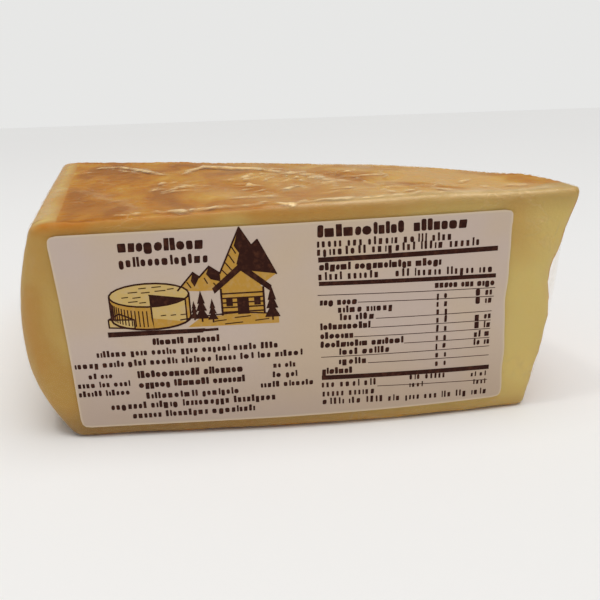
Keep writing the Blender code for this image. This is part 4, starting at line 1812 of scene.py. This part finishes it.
        slice_outline = [(12.9, 32.3), (20.4, 31.7), (20.4, 34.4), (16.2, 36.4), (12.9, 34.7), (12.9, 32.3)]
        brown.stroke(slice_outline, 0.45)
        brown.stroke([(12.9, 34.7), (20.4, 34.4)], 0.4)
        brown.shape([(12.2, 29.3), (40.2, 29.3), (41.0, 30.6), (12.2, 30.9)])
        brown.stroke([(40.4, 30.0), (44.6, 30.1)], 0.8)

    def draw(self, brown: Stencil, ochre: Stencil, pale: Stencil) -> None:
        """Draws the whole picture with three inks."""
        self.draw_land(brown, ochre)
        self.draw_hut(brown, ochre)
        self.draw_cheese(brown, ochre, pale)


@dataclass
class Print:
    """Everything printed on the label: plain marks for words, a ruled table and a mountain pasture picture.

    Args:
        sheet: the label's plane.
        seed: the seed of the marks' sizes.
        lift: how far off the wall the first ink lies.
        layer: how much further off each next ink lies.
        table_tall, table_rise: how tall the table's marks are, and how much higher a row's right end is.
        amounts, shares: from where to where the table's two columns of figures lie.
    """

    sheet: LabelSheet
    seed: int = 11
    lift: float = 0.475 * MM
    layer: float = 0.018 * MM
    table_tall: float = 2.2
    table_rise: float = -0.3
    amounts: Span = (111.0, 115.2)
    shares: Span = (123.4, 129.0)

    def words_and_table(self, material: bpy.types.Material) -> bpy.types.Object:
        """Returns the brown words, rules and table.

        Args:
            material: the brown ink.

        Returns:
            The printed piece.
        """
        stencil = Stencil("print_words")
        draw = random.Random(self.seed)
        for line in LEFT_LINES + RIGHT_LINES + FOOT_LINES:
            stencil.words(line, draw)
        for left, right, base, weight, words, amount, share in TABLE_ROWS:
            stencil.words(Line(left, right, base, self.table_tall, weight, words, self.table_rise), draw)
            if amount:
                stencil.words(Line(*self.amounts, base - 0.6, self.table_tall, Weight.LIGHT, 2), draw)
            if share:
                stencil.words(Line(*self.shares, base - 0.8, self.table_tall, Weight.BOLD, 2), draw)
        for rule in RULES:
            stencil.rule(rule)
        return stencil.build(self.sheet, self.lift, material)

    def build(self) -> list[bpy.types.Object]:
        """Returns the printed pieces."""
        dark = InkFinish("brown_ink", srgb(50, 17, 6), srgb(96, 54, 34)).material()
        yellow = InkFinish("ochre_ink", srgb(196, 148, 62), srgb(198, 164, 114)).material()
        light = InkFinish("pale_ink", srgb(212, 180, 112), srgb(204, 180, 146)).material()
        ochre, pale, brown = Stencil("print_ochre", 2), Stencil("print_pale", 2), Stencil("print_picture", 1)
        PastureMotif().draw(brown, ochre, pale)
        return [
            self.words_and_table(dark),
            ochre.build(self.sheet, self.lift, yellow),
            pale.build(self.sheet, self.lift + self.layer, light),
            brown.build(self.sheet, self.lift + self.layer * 2, dark),
        ]


@dataclass
class Studio:
    """The floor, the lights and the camera.

    Args:
        camera_at, camera_turn: the camera's place, and its turn in degrees.
        lens, sensor: its focal length and sensor width, in millimetres.
        floor_size: the floor's side.
        surroundings, sky: how bright the surroundings are, and their colour.
        backdrop: the colour that the camera sees behind the floor.
        lamps: each soft lamp's name, place, size, power and colour.
        aim: the height that the lamps are aimed at.
        daylight, daylight_spread, daylight_turn: how bright the daylight is, how soft, and its turn.
    """

    camera_at: tuple[float, float, float] = (-0.25 * MM, -254.4 * MM, 98.05 * MM)
    camera_turn: tuple[float, float, float] = (72.097, 1.812, -5.132)
    lens: float = 36.64
    sensor: float = 36.0
    floor_size: float = 8.0
    surroundings: float = 0.35
    sky: tuple[float, float, float, float] = (1.0, 0.995, 0.98, 1.0)
    backdrop: tuple[float, float, float, float] = (0.80, 0.80, 0.79, 1.0)
    lamps: Sequence[tuple[str, tuple[float, float, float], float, float, Colour]] = (
        ("front_fill", (-0.5, -1.3, 0.7), 0.9, 1.0, (1.0, 0.98, 0.96)),
        ("sparkle", (-0.25, -0.15, 1.0), 0.12, 1.0, (1.0, 0.99, 0.97)),
    )
    aim: float = 0.04
    daylight: float = 1.6
    daylight_spread: float = math.radians(50)
    daylight_turn: tuple[float, float, float] = (math.radians(6), math.radians(8), 0.0)

    def floor(self) -> bpy.types.Object:
        """Returns the flat floor."""
        bpy.ops.object.select_all(action="DESELECT")
        bpy.ops.mesh.primitive_plane_add(size=self.floor_size, location=(0, 0, 0))
        plane = bpy.context.active_object
        plane.name = "floor"
        bpy.ops.object.transform_apply(location=True, rotation=True, scale=True)
        dress(plane, FloorFinish().material())
        return plane

    def light(self) -> None:
        """Places the soft lights, each aimed at the cheese, and the pale surroundings."""
        bpy.ops.object.select_all(action="DESELECT")
        bpy.ops.object.light_add(type="SUN", location=(0, 0, 1), rotation=self.daylight_turn)
        day = bpy.context.active_object
        day.name = "daylight"
        day.data.energy = self.daylight
        day.data.angle = self.daylight_spread
        for name, place, size, power, colour in self.lamps:
            bpy.ops.object.select_all(action="DESELECT")
            bpy.ops.object.light_add(type="AREA", location=place)
            lamp = bpy.context.active_object
            lamp.name = name
            ray = Vector(place) - Vector((0, 0, self.aim))
            lamp.rotation_euler = ray.to_track_quat("Z", "Y").to_euler()
            lamp.data.size = size
            lamp.data.energy = power
            lamp.data.color = colour
        world = bpy.data.worlds.new("surroundings")
        world.use_nodes = True
        tree = world.node_tree
        seen = tree.nodes.new("ShaderNodeLightPath").outputs["Is Camera Ray"]
        around = tree.nodes["Background"]
        around.inputs["Color"].default_value = self.sky
        around.inputs["Strength"].default_value = self.surroundings
        behind = tree.nodes.new("ShaderNodeBackground")
        behind.inputs["Color"].default_value = self.backdrop
        both = tree.nodes.new("ShaderNodeMixShader")
        tree.links.new(seen, both.inputs[0])
        tree.links.new(around.outputs[0], both.inputs[1])
        tree.links.new(behind.outputs[0], both.inputs[2])
        tree.links.new(both.outputs[0], tree.nodes["World Output"].inputs["Surface"])
        bpy.context.scene.world = world

    def camera(self) -> None:
        """Places the camera at the photograph's angle."""
        bpy.ops.object.camera_add(
            location=self.camera_at, rotation=tuple(math.radians(turn) for turn in self.camera_turn)
        )
        eye = bpy.context.active_object
        eye.name = "camera"
        eye.data.sensor_width = self.sensor
        eye.data.lens = self.lens
        eye.data.clip_start = 0.01
        bpy.context.scene.camera = eye
        bpy.context.scene.view_settings.view_transform = "Standard"

    def build(self) -> bpy.types.Object:
        """Sets the studio up and returns its floor."""
        self.light()
        self.camera()
        return self.floor()


def report(piece: bpy.types.Object) -> None:
    """Logs a piece's name and size."""
    LOG.info("%s: %d faces", piece.name, len(piece.data.polygons))


def main() -> None:
    """Builds the cheese, its film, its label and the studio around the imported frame."""
    logging.basicConfig(level=logging.INFO)
    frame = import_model()
    wedge = Wedge()
    form = Form(wedge, frame["nodes"][Node.CHEESE.value])
    cheese = Cheese(form).build()
    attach(cheese, "root")
    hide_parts(Node.CHEESE.value)
    report(cheese)
    film = Film(form).build()
    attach(film, "root")
    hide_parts(Node.CHEESE.value)
    report(film)
    wall = form.smooth_copy("wall_guide")
    sheet = LabelSheet(wedge, wall)
    paper = Paper(sheet).build()
    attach(paper, "root")
    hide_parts(Node.LABEL.value)
    report(paper)
    for piece in Print(sheet).build():
        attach(piece, "root")
        report(piece)
    bpy.data.objects.remove(wall, do_unlink=True)
    Studio().build()


if __name__ == "__main__":
    main()
